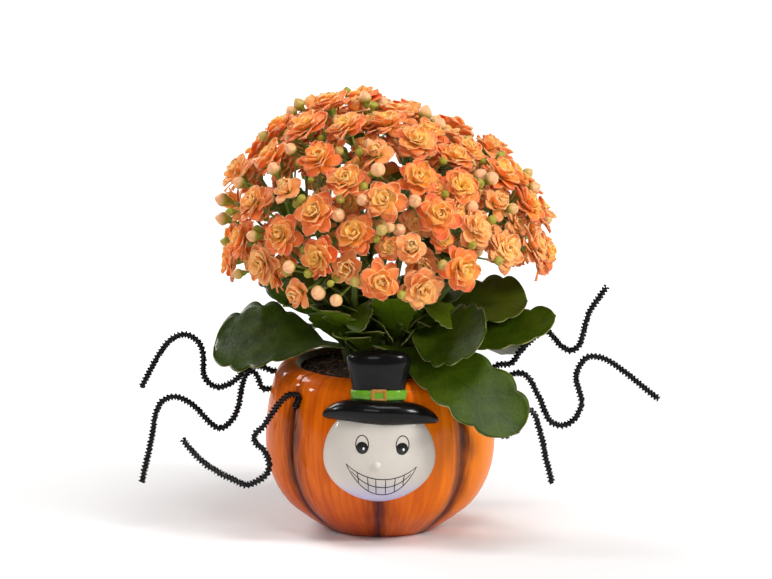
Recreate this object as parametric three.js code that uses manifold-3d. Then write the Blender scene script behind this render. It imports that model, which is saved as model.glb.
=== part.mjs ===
// A double-flowered kalanchoe growing in a small glazed pumpkin pot with a raised face and hat
// and six pipe-cleaner legs. Millimetres, +Z up, the pot's foot on Z = 0, its face towards -Y.
import * as THREE from "three";
import { mergeVertices } from "three/addons/utils/BufferGeometryUtils.js";
import Module from "manifold-3d";

const wasm = await Module();
wasm.setup();

// Clearance between neighbouring pieces
const GAP = 0.35;

// Pot: radius and height pairs down the outside, then down the inside
const POT_OUTSIDE = [
  [27, 0], [32.5, 3.3], [40.5, 9], [47, 14.5], [52.8, 23], [57, 34],
  [58.4, 46], [57.8, 58], [55.8, 70], [52.6, 79.2], [47.6, 83.2], [42.6, 84],
];
const POT_INSIDE = [
  [39.6, 82.4], [40, 79.6], [47.5, 76], [51.6, 64], [52.8, 48], [50, 31], [41.5, 15.5], [27, 7], [0, 5],
];
// Angles of the eight grooves, in degrees round from the front, growing towards +X
const GROOVES = [-51.5, -1.5, 46.5, 91, 135, 179, 223, 266];
// A groove reaches its depth at the height full, and loses the share fade from fadeFrom to the rim
const GROOVE = { depth: 2.8, sharpness: 2.5, full: 14, fadeFrom: 68, fade: 0.75 };
const STEPS_PER_LOBE = 4;
// How far the relief's buried back stays off the pot's inner face
const RELIEF_ROOT = 1.5;

// Raised face and hat on the front of the pot
const FACE = { centre: [-0.5, -49, 47], radii: [28.3, 13.6, 23.4], upperRadius: 30 };
const NOSE = { centre: [-2, -62, 44.6], radii: [2.6, 2.2, 2.4] };
const BRIM = {
  halfWidth: 29, height: 71, tilt: 0.05, droop: 4.8, up: 6, down: 7, depth: 7.5, wallRadius: 57, sunk: 0.5,
};
const CROWN = { foot: [-0.8, -50.5, 73], lean: 8, flatness: 0.55 };
const CROWN_PROFILE = [[0, 0], [13, 0], [13.2, 8], [14.5, 15], [15.9, 20.8], [15.2, 24.8], [11, 26.8], [0, 27.2]];
const BAND = { low: 2.6, high: 7.6, radius: 13.8 };
const BUCKLE = { width: 8, height: 6.4, frame: 1.8, depth: 1.4, centreHeight: 5, forward: 7.5 };

// Soil: its clearance to the wall, its crown above the rim and the lumps on it
const SOIL_SIDES = 13;
const SOIL_CLEARANCE = 0.5;
const SOIL_TOP = [[38.4, 80.9], [29, 82.8], [16, 84.4], [0, 85]];
const SOIL_LUMP = { height: 0.6, perSide: 2.4, perRing: 1.9 };

// Legs: each leaves its hole along exit, then waves in one upright plane along azimuth
const LEG_RADIUS = 1.5;
const LEG_SIDES = 4;
const LEG_STEPS_PER_POINT = 1.25;
const LEG_STUB = 3.5;
const LEG_ROOT = 9;
const LEG_CLEARANCE = 0.5;

// Stems: the height of their feet, where they leave the soil and how straight they end
const STEM_RADIUS = 2.5;
const STEM_TAPER = 0.06;
const STEM_SIDES = 5;
const STEM_FOOT_HEIGHT = 68;
const STEM_EXIT = { height: 86, lean: 0.5 };
const STEM_STRAIGHT = 6;

// Flower head: a dome of blooms with buds in its chinks. Ranges are [low, high].
const HEAD_CENTRE = new THREE.Vector3(4, 0, 142);
const HEAD_REACH = new THREE.Vector3(76, 74, 76);
const HEAD_SKIRT = 0.14;
// The skirt is higher over the back right leaf
const SKIRT_LIFT = { azimuth: 325, rise: 0.26, sharpness: 6 };
// Where the dome swells out or sinks in, as a share of its reach, and how sharply
const HEAD_SWELLS = [
  { azimuth: 0, elevation: 66, swell: -0.17 },
  { azimuth: 0, elevation: 8, swell: 0.05 },
  { azimuth: 184, elevation: 28, swell: 0.09 },
  { azimuth: 182, elevation: 76, swell: 0.05 },
];
const SWELL_SHARPNESS = 8;
const BLOOM_COUNT = 80;
const BLOOM_SPACING = 22.2;
const BLOOM_RADIUS = 10.7;
const BLOOM_DEPTHS = [0.97, 1.03];
const BLOOM_SIZES = [0.94, 1.06];
const BLOOM_TURN_JITTER = 0.25;
const BLOOM_FACING_JITTER = 0.5;
const HALF_OPEN = { every: 6, first: 3, size: 0.68 };
const SPREAD = { rounds: 60, push: 0.4 };
const BUD_COUNT = 30;
const BUD_TRIES = 4000;
const BUD_RADIUS = 3.3;
const BUD_DEPTHS = [1.02, 1.07];
const BUD_SIZES = [0.85, 1.2];
const BUD_CLEARANCE = 0.6;
const BUD_SPACING = 9;
// Where branches fork on their way out to the dome, how far apart stalks leave them, and their radii
const PEDUNCLE_RADII = [2, 1.9, 1.75, 1.6];
const FLOWERS_PER_FORK = 4.4;
const FORK_REACH = 0.7;
const FORK_SPACING = 2.6;
const BRANCH_RADIUS = 1.6;
const STALK_ROOT_RADIUS = 0.6;

// The ten shoots: where each stem stands in the soil, where and how steeply it hands over to its
// flower spray, and where that spray points. Azimuths are degrees round from +X, with 270 in front.
const OUTER_SHOOTS = {
  foot: 16, reach: 26, height: 113, steepness: 52, elevation: 12, hubElevation: -10, hubReach: 0.52,
};
const INNER_SHOOTS = {
  foot: 6, reach: 8, height: 121, steepness: 80, elevation: 58, hubElevation: 58, hubReach: 0.4,
};
const SHOOTS = [
  { name: "left", azimuth: 195, kind: OUTER_SHOOTS },
  { name: "front_left", azimuth: 245, kind: OUTER_SHOOTS },
  { name: "front_right", azimuth: 295, kind: OUTER_SHOOTS },
  { name: "right", azimuth: 345, kind: OUTER_SHOOTS },
  { name: "back_right", azimuth: 37, kind: OUTER_SHOOTS },
  { name: "back", azimuth: 91, kind: OUTER_SHOOTS },
  { name: "back_left", azimuth: 144, kind: OUTER_SHOOTS },
  { name: "top_front", azimuth: 270, kind: INNER_SHOOTS },
  { name: "top_right", azimuth: 30, kind: INNER_SHOOTS },
  { name: "top_left", azimuth: 150, kind: INNER_SHOOTS },
];

// Leaves: the height on the stem, the heading, the rise at the root and the droop to the tip, in
// degrees, the length and half width, and the roll about the midrib
const LEAVES = {
  left: [
    { height: 92, azimuth: 170, rise: 8, droop: 20, length: 67.5, half: 28, roll: -22, fine: true },
    { height: 105, azimuth: 184, rise: 15, droop: -36, length: 46, half: 15, roll: 30 },
    { height: 103, azimuth: 166, rise: 52, droop: 10, length: 46, half: 11, roll: 0 },
  ],
  front_left: [
    { height: 97, azimuth: 325, rise: -1, droop: 38, length: 101, half: 17.5, roll: 36, fine: true },
    { height: 101, azimuth: 228, rise: 36, droop: 14, length: 38, half: 11, roll: 0 },
    { height: 93, azimuth: 246, rise: 44, droop: 40, length: 28, half: 9, roll: 0 },
  ],
  front_right: [
    { height: 107, azimuth: 325.5, rise: -21, droop: -50, length: 54.5, half: 18.8, roll: 42, fine: true },
    { height: 107.5, azimuth: 8, rise: 24, droop: 62, length: 32.5, half: 9.6, roll: 27.5 },
    { height: 97, azimuth: 264, rise: 56, droop: 20, length: 40, half: 11, roll: 0 },
  ],
  right: [
    { height: 99.5, azimuth: 354.5, rise: -12, droop: -41, length: 71, half: 13, roll: 28 },
    { height: 103, azimuth: 20, rise: 44, droop: 10, length: 36, half: 10, roll: 0 },
  ],
  back_right: [
    { height: 95.5, azimuth: 1, rise: 29.5, droop: 27, length: 61.5, half: 24, roll: 15 },
    { height: 93, azimuth: 45, rise: 10, droop: 50, length: 70, half: 25, roll: 0 },
    { height: 104, azimuth: 58, rise: 50, droop: 24, length: 42, half: 13, roll: 0 },
  ],
  back: [
    { height: 97, azimuth: 80, rise: 15, droop: 50, length: 68, half: 25, roll: -8 },
    { height: 104, azimuth: 112, rise: 38, droop: 34, length: 46, half: 15, roll: 8 },
  ],
  back_left: [
    { height: 94, azimuth: 128, rise: 12, droop: 45, length: 70, half: 25, roll: 8 },
    { height: 104, azimuth: 154, rise: 36, droop: 35, length: 50, half: 16, roll: -10 },
  ],
};
const LEAF_STEPS = 12;
const LEAF_SUBSTEPS = 4;
// The stalk's share of the leaf's length, its half width as a share of the blade's, and its taper
const PETIOLE = { share: 0.15, half: 0.14, taper: 0.5 };
// The blade's outline, its scallops, half its thickness along the midrib and its cupping
const LEAF_OVAL = { root: 0.85, tip: 0.45 };
const LEAF_SCALLOP = { depth: 0.1, from: 0.15, full: 0.5 };
const LEAF_THICKNESS = { root: 1.17, tip: 0.54 };
const LEAF_CUP = 0.14;
const LEAF_ROLLED_BY = 0.45;

// Each leg's route after its stub: how far out along its plane, and how high
const LEGS = [
  {
    name: "leg_left_upper", hole: { angle: -106, height: 76 }, exit: 166, plane: 171,
    route: [[9, 78], [17, 76], [20, 72], [25.5, 68], [31, 66.5], [35.5, 69], [38, 73.5], [38, 79.5],
      [38.5, 85.5], [42, 91], [48, 93], [54, 90.5], [58.5, 85.5], [64, 76], [69.5, 65]],
  },
  {
    name: "leg_left_middle", hole: { angle: -85, height: 71 }, exit: 184, plane: 183,
    route: [[7, 78.5], [10, 80.5], [12.8, 77], [14.5, 71], [15.5, 64.5], [17.5, 58], [21, 53.5], [25, 51],
      [29, 53], [33, 57], [38, 62.5], [44, 66.5], [49, 67.5], [54.5, 65], [57.5, 58.5], [59, 49],
      [61.5, 37], [64.5, 24]],
  },
  {
    name: "leg_left_lower", hole: { angle: -51.5, height: 69 }, exit: 258, plane: 192,
    route: [[1.5, 74], [7, 75], [12, 70.5], [16.5, 64.5], [20.5, 59], [24, 56], [24.5, 52.5], [19.5, 47],
      [17, 41], [18, 35.5], [22.5, 32], [28.5, 30], [34, 32.5], [41.5, 36.5], [49.5, 42], [55.5, 48],
      [61, 55]],
  },
  {
    name: "leg_right_upper", hole: { angle: 107, height: 76 }, exit: 16, plane: 8,
    route: [[8, 78.5], [14.5, 79], [18.5, 84.5], [25.5, 91.5], [32, 95.5], [36, 91.5], [40.5, 86.5],
      [45, 84.5], [49, 87.5], [50.5, 92], [52, 98], [54, 104], [57.5, 109.5], [63, 117]],
  },
  {
    name: "leg_right_middle", hole: { angle: 88, height: 73 }, exit: -2, plane: -3,
    route: [[8, 75.5], [11.5, 78], [16, 78.5], [20, 75.5], [22.5, 70.5], [25.5, 64.5], [27.5, 59], [30, 54.5],
      [35, 52], [41, 54], [44.5, 59], [46, 64], [44.5, 70.5], [43, 76], [44.5, 82], [48.5, 87], [53, 87.5],
      [58.5, 86], [64.5, 82], [70.5, 77.5], [77, 72], [84.5, 66]],
  },
  {
    name: "leg_right_lower", hole: { angle: 46.5, height: 69 }, exit: -72, plane: -8,
    route: [[3, 72.5], [9, 71], [15, 64], [21, 57.5], [26.5, 55.5], [30, 59.5], [32, 65.5], [35, 69],
      [38, 69.5], [41, 66.5], [43, 60], [45, 52.5], [46.5, 44.5], [48.5, 37], [49.5, 32]],
  },
];

// Colours, roughness and metalness
const LOOKS = {
  pot: { color: 0xe07818, roughness: 0.2, metalness: 0 },
  soil: { color: 0x3c2416, roughness: 0.95, metalness: 0 },
  leg: { color: 0x161416, roughness: 0.95, metalness: 0 },
  leaf: { color: 0x31500f, roughness: 0.45, metalness: 0 },
  spray: { color: 0xf2924a, roughness: 0.6, metalness: 0 },
};

const radians = THREE.MathUtils.degToRad;
const smoothstep = THREE.MathUtils.smoothstep;
const lerp = THREE.MathUtils.lerp;
// A direction that no stalk, stem or branch follows
const REFERENCE = new THREE.Vector3(0.31, 0.87, 0.38);

// A repeatable stream of numbers from 0 to 1
function randomStream(seed) {
  let state = seed;
  return () => {
    state = (state + 0x6d2b79f5) | 0;
    let mixed = Math.imul(state ^ (state >>> 15), 1 | state);
    mixed = (mixed + Math.imul(mixed ^ (mixed >>> 7), 61 | mixed)) ^ mixed;
    return ((mixed ^ (mixed >>> 14)) >>> 0) / 4294967296;
  };
}

const between = ([low, high], random) => lerp(low, high, random());

function heading(azimuth, elevation = 0) {
  const level = Math.cos(radians(elevation));
  return new THREE.Vector3(
    Math.cos(radians(azimuth)) * level,
    Math.sin(radians(azimuth)) * level,
    Math.sin(radians(elevation)),
  );
}

// A closed triangle mesh as a solid: shared corners merged, collapsed triangles dropped, faces out
function solidFrom(geometry) {
  const bare = geometry.clone();
  bare.deleteAttribute("normal");
  bare.deleteAttribute("uv");
  const merged = mergeVertices(bare, 1e-4);
  const position = merged.attributes.position.array;
  const kept = [];
  let volume = 0;
  for (let i = 0; i < merged.index.count; i += 3) {
    const [a, b, c] = [0, 1, 2].map((k) => merged.index.getX(i + k));
    if (a === b || b === c || a === c) continue;
    kept.push(a, b, c);
    const [p, q, r] = [a, b, c].map((k) => new THREE.Vector3().fromArray(position, 3 * k));
    volume += p.dot(q.cross(r));
  }
  const outward = volume > 0 ? kept : kept.reverse();
  return new wasm.Manifold(
    new wasm.Mesh({
      numProp: 3,
      vertProperties: new Float32Array(position),
      triVerts: new Uint32Array(outward),
    }),
  );
}

// The biggest body of a fused solid, without sealed hollows and loose scraps
function wholeBody(solid) {
  const bodies = solid.decompose();
  return bodies.reduce((best, body) => (body.volume() > best.volume() ? body : best));
}

function fuse(solids) {
  return wholeBody(solids.reduce((all, solid) => all.add(solid)));
}

function node(name, solid, look) {
  const mesh = solid.getMesh();
  const corners = new Float32Array(mesh.numVert * 3);
  for (let i = 0; i < mesh.numVert; i += 1) {
    for (let k = 0; k < 3; k += 1) corners[3 * i + k] = mesh.vertProperties[mesh.numProp * i + k];
  }
  const geometry = new THREE.BufferGeometry();
  geometry.setAttribute("position", new THREE.BufferAttribute(corners, 3));
  geometry.setIndex(new THREE.BufferAttribute(new Uint32Array(mesh.triVerts), 1));
  geometry.computeVertexNormals();
  const made = new THREE.Mesh(geometry, new THREE.MeshStandardMaterial(look));
  made.name = name;
  return made;
}

// Joins closed rings of any counts of points into one skin. A ring is { points, phase }, with
// phase as the first point's share of a turn; a ring of one point closes an end.
function loft(rings) {
  const corners = [];
  const faces = [];
  const starts = rings.map((ring) => {
    const start = corners.length;
    corners.push(...ring.points);
    return start;
  });
  for (let r = 0; r + 1 < rings.length; r += 1) {
    const [low, high] = [rings[r], rings[r + 1]];
    const [n, m] = [low.points.length, high.points.length];
    const [lowSteps, highSteps] = [n > 1 ? n : 0, m > 1 ? m : 0];
    let i = 0;
    let j = 0;
    while (i < lowSteps || j < highSteps) {
      const a = starts[r] + (i % n);
      const b = starts[r + 1] + (j % m);
      const nextLow = (i + 1) / n + low.phase;
      const nextHigh = (j + 1) / m + high.phase;
      if (j >= highSteps || (i < lowSteps && nextLow <= nextHigh + 1e-9)) {
        faces.push(a, starts[r] + ((i + 1) % n), b);
        i += 1;
      } else {
        faces.push(a, starts[r + 1] + ((j + 1) % m), b);
        j += 1;
      }
    }
  }
  const geometry = new THREE.BufferGeometry().setFromPoints(corners);
  geometry.setIndex(faces);
  return solidFrom(geometry);
}

// Two directions square to an axis, turned as little as possible from a reference
function crossAxes(axis, reference) {
  const across = reference.clone().addScaledVector(axis, -reference.dot(axis)).normalize();
  return [across, new THREE.Vector3().crossVectors(axis, across)];
}

function ringAt(centre, [across, along], radii, phase = 0) {
  const points = radii.map((radius, i) => {
    const turn = 2 * Math.PI * (i / radii.length + phase);
    return centre
      .clone()
      .addScaledVector(across, radius * Math.cos(turn))
      .addScaledVector(along, radius * Math.sin(turn));
  });
  return { points, phase };
}

const point = (place) => ({ points: [place.clone()], phase: 0 });

// A round bar along a line of points
function sweep(line, radii, sides) {
  const rings = [];
  let reference = REFERENCE;
  line.forEach((place, i) => {
    const before = line[Math.max(i - 1, 0)];
    const after = line[Math.min(i + 1, line.length - 1)];
    const axis = after.clone().sub(before).normalize();
    const axes = crossAxes(axis, reference);
    [reference] = axes;
    rings.push(ringAt(place, axes, new Array(sides).fill(radii[i])));
  });
  return loft([point(line[0]), ...rings, point(line[line.length - 1])]);
}

function smoothLine(controls, steps) {
  return new THREE.CatmullRomCurve3(controls, false, "centripetal").getPoints(steps);
}

// Pot
function alongProfile(profile, height) {
  for (let i = 0; i + 1 < profile.length; i += 1) {
    const [[r0, z0], [r1, z1]] = [profile[i], profile[i + 1]];
    if (height <= z1) return lerp(r0, r1, (height - z0) / (z1 - z0));
  }
  return profile[profile.length - 1][0];
}

function grooveDepth(height, share) {
  const rim = POT_OUTSIDE[POT_OUTSIDE.length - 1][1];
  const low = smoothstep(height, 0, GROOVE.full);
  const high = 1 - GROOVE.fade * smoothstep(height, GROOVE.fadeFrom, rim);
  return GROOVE.depth * low * high * Math.abs(2 * share - 1) ** GROOVE.sharpness;
}

// A point of the pot's wall, by its angle in degrees round from the front
function aroundPot(radius, angle, height) {
  return new THREE.Vector3(radius * Math.sin(radians(angle)), -radius * Math.cos(radians(angle)), height);
}

// Turns a profile round the pot's axis, with its steps on the lobes and cut in by depth
function turnedToLobes(profile, depthAt) {
  const sides = GROOVES.length * STEPS_PER_LOBE;
  const lathe = new THREE.LatheGeometry(profile.map(([r, z]) => new THREE.Vector2(r, z)), sides);
  const position = lathe.attributes.position;
  for (let i = 0; i <= sides; i += 1) {
    const lobe = Math.floor((i % sides) / STEPS_PER_LOBE);
    const share = (i % STEPS_PER_LOBE) / STEPS_PER_LOBE;
    const end = lobe + 1 < GROOVES.length ? GROOVES[lobe + 1] : GROOVES[0] + 360;
    const angle = lerp(GROOVES[lobe], end, share);
    profile.forEach(([radius, height], j) => {
      const wall = aroundPot(radius - depthAt(height, share, j), angle, height);
      position.setXYZ(i * profile.length + j, ...wall);
    });
  }
  return solidFrom(lathe);
}

function potShell() {
  const profile = [[0, 0], ...POT_OUTSIDE, ...POT_INSIDE];
  return turnedToLobes(profile, (height, share, j) => {
    return j <= POT_OUTSIDE.length ? grooveDepth(height, share) : 0;
  });
}

// The room inside the wall and half of the wall with it, up through the mouth
function reliefLimit() {
  const rim = POT_OUTSIDE[POT_OUTSIDE.length - 1][1];
  const grown = [[POT_INSIDE[0][0], rim], ...POT_INSIDE.slice(0, -1)].map(([r, z]) => [r + RELIEF_ROOT, z]);
  return turnedToLobes([[0, rim], ...grown, [0, 0]], () => 0);
}

function ellipsoid({ centre, radii }, around, down) {
  return solidFrom(new THREE.SphereGeometry(1, around, down).scale(...radii).translate(...centre));
}

// The face is taller above its middle than below it, so that it stays wide up to the brim
function faceRelief() {
  const sphere = new THREE.SphereGeometry(1, 18, 9);
  const position = sphere.attributes.position;
  const [width, depth, low] = FACE.radii;
  for (let i = 0; i < position.count; i += 1) {
    const [x, y, z] = [position.getX(i), position.getZ(i), position.getY(i)];
    position.setXYZ(i, width * x, -depth * y, (z > 0 ? FACE.upperRadius : low) * z);
  }
  return solidFrom(sphere.translate(...FACE.centre));
}

function hatBrim() {
  const sphere = new THREE.SphereGeometry(1, 16, 8);
  const position = sphere.attributes.position;
  for (let i = 0; i < position.count; i += 1) {
    const [x, y, z] = [position.getX(i), position.getY(i), position.getZ(i)];
    const across = BRIM.halfWidth * x;
    const wall = Math.sqrt(BRIM.wallRadius ** 2 - across ** 2) - BRIM.sunk;
    const lift = y * (y > 0 ? BRIM.up : BRIM.down);
    const middle = BRIM.height - BRIM.tilt * across - BRIM.droop * x ** 4;
    position.setXYZ(i, across, -wall - BRIM.depth * z, middle + lift);
  }
  return solidFrom(sphere);
}

// Turns a shape made round +Y at the origin into one on the leaning crown's axis
function onCrown(geometry) {
  return geometry
    .rotateX(Math.PI / 2)
    .scale(1, CROWN.flatness, 1)
    .rotateX(-radians(CROWN.lean))
    .translate(...CROWN.foot);
}

function crownLathe(profile) {
  return solidFrom(onCrown(new THREE.LatheGeometry(profile.map(([r, z]) => new THREE.Vector2(r, z)), 14)));
}

function buckle() {
  const outline = new THREE.Shape();
  const [w, h] = [BUCKLE.width / 2, BUCKLE.height / 2];
  outline.moveTo(-w, -h).lineTo(w, -h).lineTo(w, h).lineTo(-w, h).closePath();
  const [iw, ih] = [w - BUCKLE.frame, h - BUCKLE.frame];
  const hole = new THREE.Path();
  hole.moveTo(-iw, -ih).lineTo(-iw, ih).lineTo(iw, ih).lineTo(iw, -ih).closePath();
  outline.holes.push(hole);
  const plate = new THREE.ExtrudeGeometry(outline, { depth: 2 * BUCKLE.depth, bevelEnabled: false });
  plate
    .rotateX(Math.PI / 2)
    .translate(0, BUCKLE.depth - BUCKLE.forward, BUCKLE.centreHeight)
    .rotateX(-radians(CROWN.lean))
    .translate(...CROWN.foot);
  return solidFrom(plate);
}

function legHole(leg) {
  const { angle, height } = leg.hole;
  const lobe = GROOVES.findIndex((groove) => Math.abs(groove - angle) < 0.1);
  const cut = lobe < 0 ? 0 : grooveDepth(height, 0);
  return aroundPot(alongProfile(POT_OUTSIDE, height) - cut, angle, height);
}

// The leg's inner end, its way through the wall, and its free route
function legControls(leg) {
  const hole = legHole(leg);
  const exit = heading(leg.exit);
  const stub = hole.clone().addScaledVector(exit, LEG_STUB);
  const inner = hole.clone().addScaledVector(exit, -LEG_ROOT);
  const plane = heading(leg.plane);
  const free = leg.route.map(([out, up]) => {
    return new THREE.Vector3(stub.x, stub.y, 0).addScaledVector(plane, out - LEG_STUB).setZ(up);
  });
  return { inner, hole, stub, free };
}

function legLine(leg) {
  const { inner, hole, stub, free } = legControls(leg);
  const controls = [inner, hole, stub, ...free];
  return smoothLine(controls, Math.round(LEG_STEPS_PER_POINT * controls.length));
}

function legSolid(leg) {
  const line = legLine(leg);
  return sweep(line, line.map(() => LEG_RADIUS), LEG_SIDES);
}

// The plain hole that a leg stands in
function legBore(leg) {
  const { inner, stub } = legControls(leg);
  const exit = stub.clone().sub(inner).normalize();
  const line = [inner.addScaledVector(exit, -GAP), stub.addScaledVector(exit, 1)];
  const radius = LEG_RADIUS + LEG_CLEARANCE;
  return sweep(line, [radius, radius], 6);
}

function pot() {
  const relief = [
    faceRelief(),
    ellipsoid(NOSE, 6, 5),
    hatBrim(),
    crownLathe(CROWN_PROFILE),
    crownLathe([[0, BAND.low], [BAND.radius, BAND.low], [BAND.radius, BAND.high], [0, BAND.high]]),
    buckle(),
  ];
  const cast = fuse([potShell(), fuse(relief).subtract(reliefLimit())]);
  return wholeBody(LEGS.reduce((solid, leg) => solid.subtract(legBore(leg)), cast));
}

// Soil: up the pot's inner wall, then over its crown
function soilProfile() {
  const floor = POT_INSIDE[POT_INSIDE.length - 1][1];
  const wall = POT_INSIDE.slice(1, -1).reverse().map(([r, z], i, all) => {
    const ends = i === 0 ? GAP : i === all.length - 1 ? -GAP : 0;
    return [r - SOIL_CLEARANCE, z + ends];
  });
  return [[0, floor + SOIL_CLEARANCE], ...wall, ...SOIL_TOP];
}

function soil(stems) {
  const profile = soilProfile();
  const lathe = new THREE.LatheGeometry(profile.map(([r, z]) => new THREE.Vector2(r, z)), SOIL_SIDES);
  lathe.rotateX(Math.PI / 2);
  const position = lathe.attributes.position;
  for (let i = 0; i < position.count; i += 1) {
    const ring = i % profile.length;
    if (ring < profile.length - SOIL_TOP.length || ring === profile.length - 1) continue;
    const side = Math.floor(i / profile.length) % SOIL_SIDES;
    const wave = Math.sin(SOIL_LUMP.perSide * side + SOIL_LUMP.perRing * ring);
    position.setZ(i, position.getZ(i) + SOIL_LUMP.height * wave);
  }
  const holes = [...LEGS.map(legBore), ...stems];
  return wholeBody(holes.reduce((solid, hole) => solid.subtract(hole), solidFrom(lathe)));
}

// Stems and leaves
function shootJoint(shoot) {
  const { reach, height } = shoot.kind;
  return heading(shoot.azimuth).multiplyScalar(reach).setZ(height);
}

function jointAxis(shoot) {
  return heading(shoot.azimuth, shoot.kind.steepness);
}

function stemLine(shoot) {
  const out = heading(shoot.azimuth);
  const foot = out.clone().multiplyScalar(shoot.kind.foot).setZ(STEM_FOOT_HEIGHT);
  const exit = foot.clone().addScaledVector(out, STEM_EXIT.lean).setZ(STEM_EXIT.height);
  const end = shootJoint(shoot).addScaledVector(jointAxis(shoot), -GAP / 2);
  const below = end.clone().addScaledVector(jointAxis(shoot), -STEM_STRAIGHT);
  return [foot, exit, ...smoothLine([exit, below, end], 4).slice(1)];
}

function stemSolid(shoot, extra = 0) {
  const line = stemLine(shoot);
  if (extra) line[0].z -= GAP;
  return sweep(line, line.map((_, i) => STEM_RADIUS * (1 - STEM_TAPER * i) + extra), STEM_SIDES);
}

function stemPlace(shoot, height) {
  const line = stemLine(shoot);
  const above = Math.max(1, line.findIndex((place) => place.z > height));
  const [low, high] = [line[above - 1], line[above]];
  return low.clone().lerp(high, (height - low.z) / (high.z - low.z));
}

// The midrib's points and directions
function leafSpine(leaf, root) {
  const place = root.clone();
  const steps = LEAF_STEPS * LEAF_SUBSTEPS;
  const spine = [];
  for (let i = 0; i <= steps; i += 1) {
    const share = i / steps;
    const along = heading(leaf.azimuth, leaf.rise - leaf.droop * share);
    if (i % LEAF_SUBSTEPS === 0) spine.push({ share, along, place: place.clone() });
    place.addScaledVector(along, leaf.length / steps);
  }
  return spine;
}

function leafHalfWidth(leaf, share, step) {
  const blade = Math.max(0, (share - PETIOLE.share) / (1 - PETIOLE.share));
  const widest = LEAF_OVAL.root / (LEAF_OVAL.root + LEAF_OVAL.tip);
  const oval = (blade / widest) ** LEAF_OVAL.root * ((1 - blade) / (1 - widest)) ** LEAF_OVAL.tip;
  const lobed = LEAF_SCALLOP.depth * smoothstep(blade, LEAF_SCALLOP.from, LEAF_SCALLOP.full);
  const scallop = 1 + (step % 2 ? lobed : -lobed);
  return leaf.half * Math.max(PETIOLE.half * (1 - PETIOLE.taper * blade), oval * scallop);
}

function leafSolid(leaf, root) {
  const columns = leaf.fine ? [-1, -0.5, 0, 0.5, 1] : [-1, 0, 1];
  const rows = leafSpine(leaf, root).map(({ share, along, place }, step) => {
    const side = new THREE.Vector3(-Math.sin(radians(leaf.azimuth)), Math.cos(radians(leaf.azimuth)), 0);
    side.applyAxisAngle(along, radians(leaf.roll) * smoothstep(share, 0, LEAF_ROLLED_BY));
    const up = new THREE.Vector3().crossVectors(along, side);
    const half = leafHalfWidth(leaf, share, step);
    const thick = lerp(LEAF_THICKNESS.root, LEAF_THICKNESS.tip, share);
    const across = (u, lift) => {
      return place
        .clone()
        .addScaledVector(side, half * u)
        .addScaledVector(up, LEAF_CUP * half * u * u + lift);
    };
    return columns.map((u) => {
      const lens = thick * (1 - u * u);
      return Math.abs(u) === 1 ? [across(u, 0)] : [across(u, lens), across(u, -lens)];
    });
  });
  const tip = leafSpine(leaf, root)[LEAF_STEPS].place;
  const corners = [root, tip];
  const index = rows.slice(0, -1).map((row) => {
    return row.map((pair) => pair.map((place) => corners.push(place) - 1));
  });
  const faces = [];
  const quad = (a, b, c, d) => faces.push(a, b, c, a, c, d);
  const top = (pair) => pair[0];
  const under = (pair) => pair[pair.length - 1];
  for (let i = 0; i + 1 < index.length; i += 1) {
    for (let k = 0; k + 1 < columns.length; k += 1) {
      const [a, b, c, d] = [index[i][k], index[i + 1][k], index[i + 1][k + 1], index[i][k + 1]];
      quad(top(a), top(b), top(c), top(d));
      faces.push(under(a), under(c), under(b), under(a), under(d), under(c));
    }
  }
  const last = index[index.length - 1];
  for (let k = 0; k + 1 < columns.length; k += 1) {
    faces.push(0, top(index[0][k]), top(index[0][k + 1]));
    faces.push(0, under(index[0][k + 1]), under(index[0][k]));
    faces.push(1, top(last[k + 1]), top(last[k]));
    faces.push(1, under(last[k]), under(last[k + 1]));
  }
  const geometry = new THREE.BufferGeometry().setFromPoints(corners);
  geometry.setIndex(faces);
  return solidFrom(geometry);
}

function leafyStem(shoot) {
  const leaves = (LEAVES[shoot.name] ?? []).map((leaf) => leafSolid(leaf, stemPlace(shoot, leaf.height)));
  return fuse([stemSolid(shoot), ...leaves]);
}

// Flower head: where the blooms lie on its dome
function domeSwell(direction) {
  return HEAD_SWELLS.reduce((sum, { azimuth, elevation, swell }) => {
    const nearness = heading(azimuth, elevation).dot(direction) - 1;
    return sum + swell * Math.exp(SWELL_SHARPNESS * nearness);
  }, 1);
}

function onDome(direction, depth) {
  const reach = direction.clone().multiply(HEAD_REACH);
  return HEAD_CENTRE.clone().addScaledVector(reach, depth * domeSwell(direction));
}

function skirtHeight(direction) {
  const turn = Math.atan2(direction.y, direction.x) - THREE.MathUtils.degToRad(SKIRT_LIFT.azimuth);
  return SKIRT_LIFT.rise * Math.exp(SKIRT_LIFT.sharpness * (Math.cos(turn) - 1)) - HEAD_SKIRT;
}

function domeDirection(place) {
  return place.clone().sub(HEAD_CENTRE).divide(HEAD_REACH).normalize();
}

function spiralDirection(i, count, random) {
  const height = 1 - ((i + 0.5) / count) * (1 + HEAD_SKIRT);
  const turn = i * Math.PI * (3 - Math.sqrt(5)) + BLOOM_TURN_JITTER * (random() - 0.5);
  const level = Math.sqrt(1 - height * height);
  return new THREE.Vector3(level * Math.cos(turn), level * Math.sin(turn), height);
}

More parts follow.
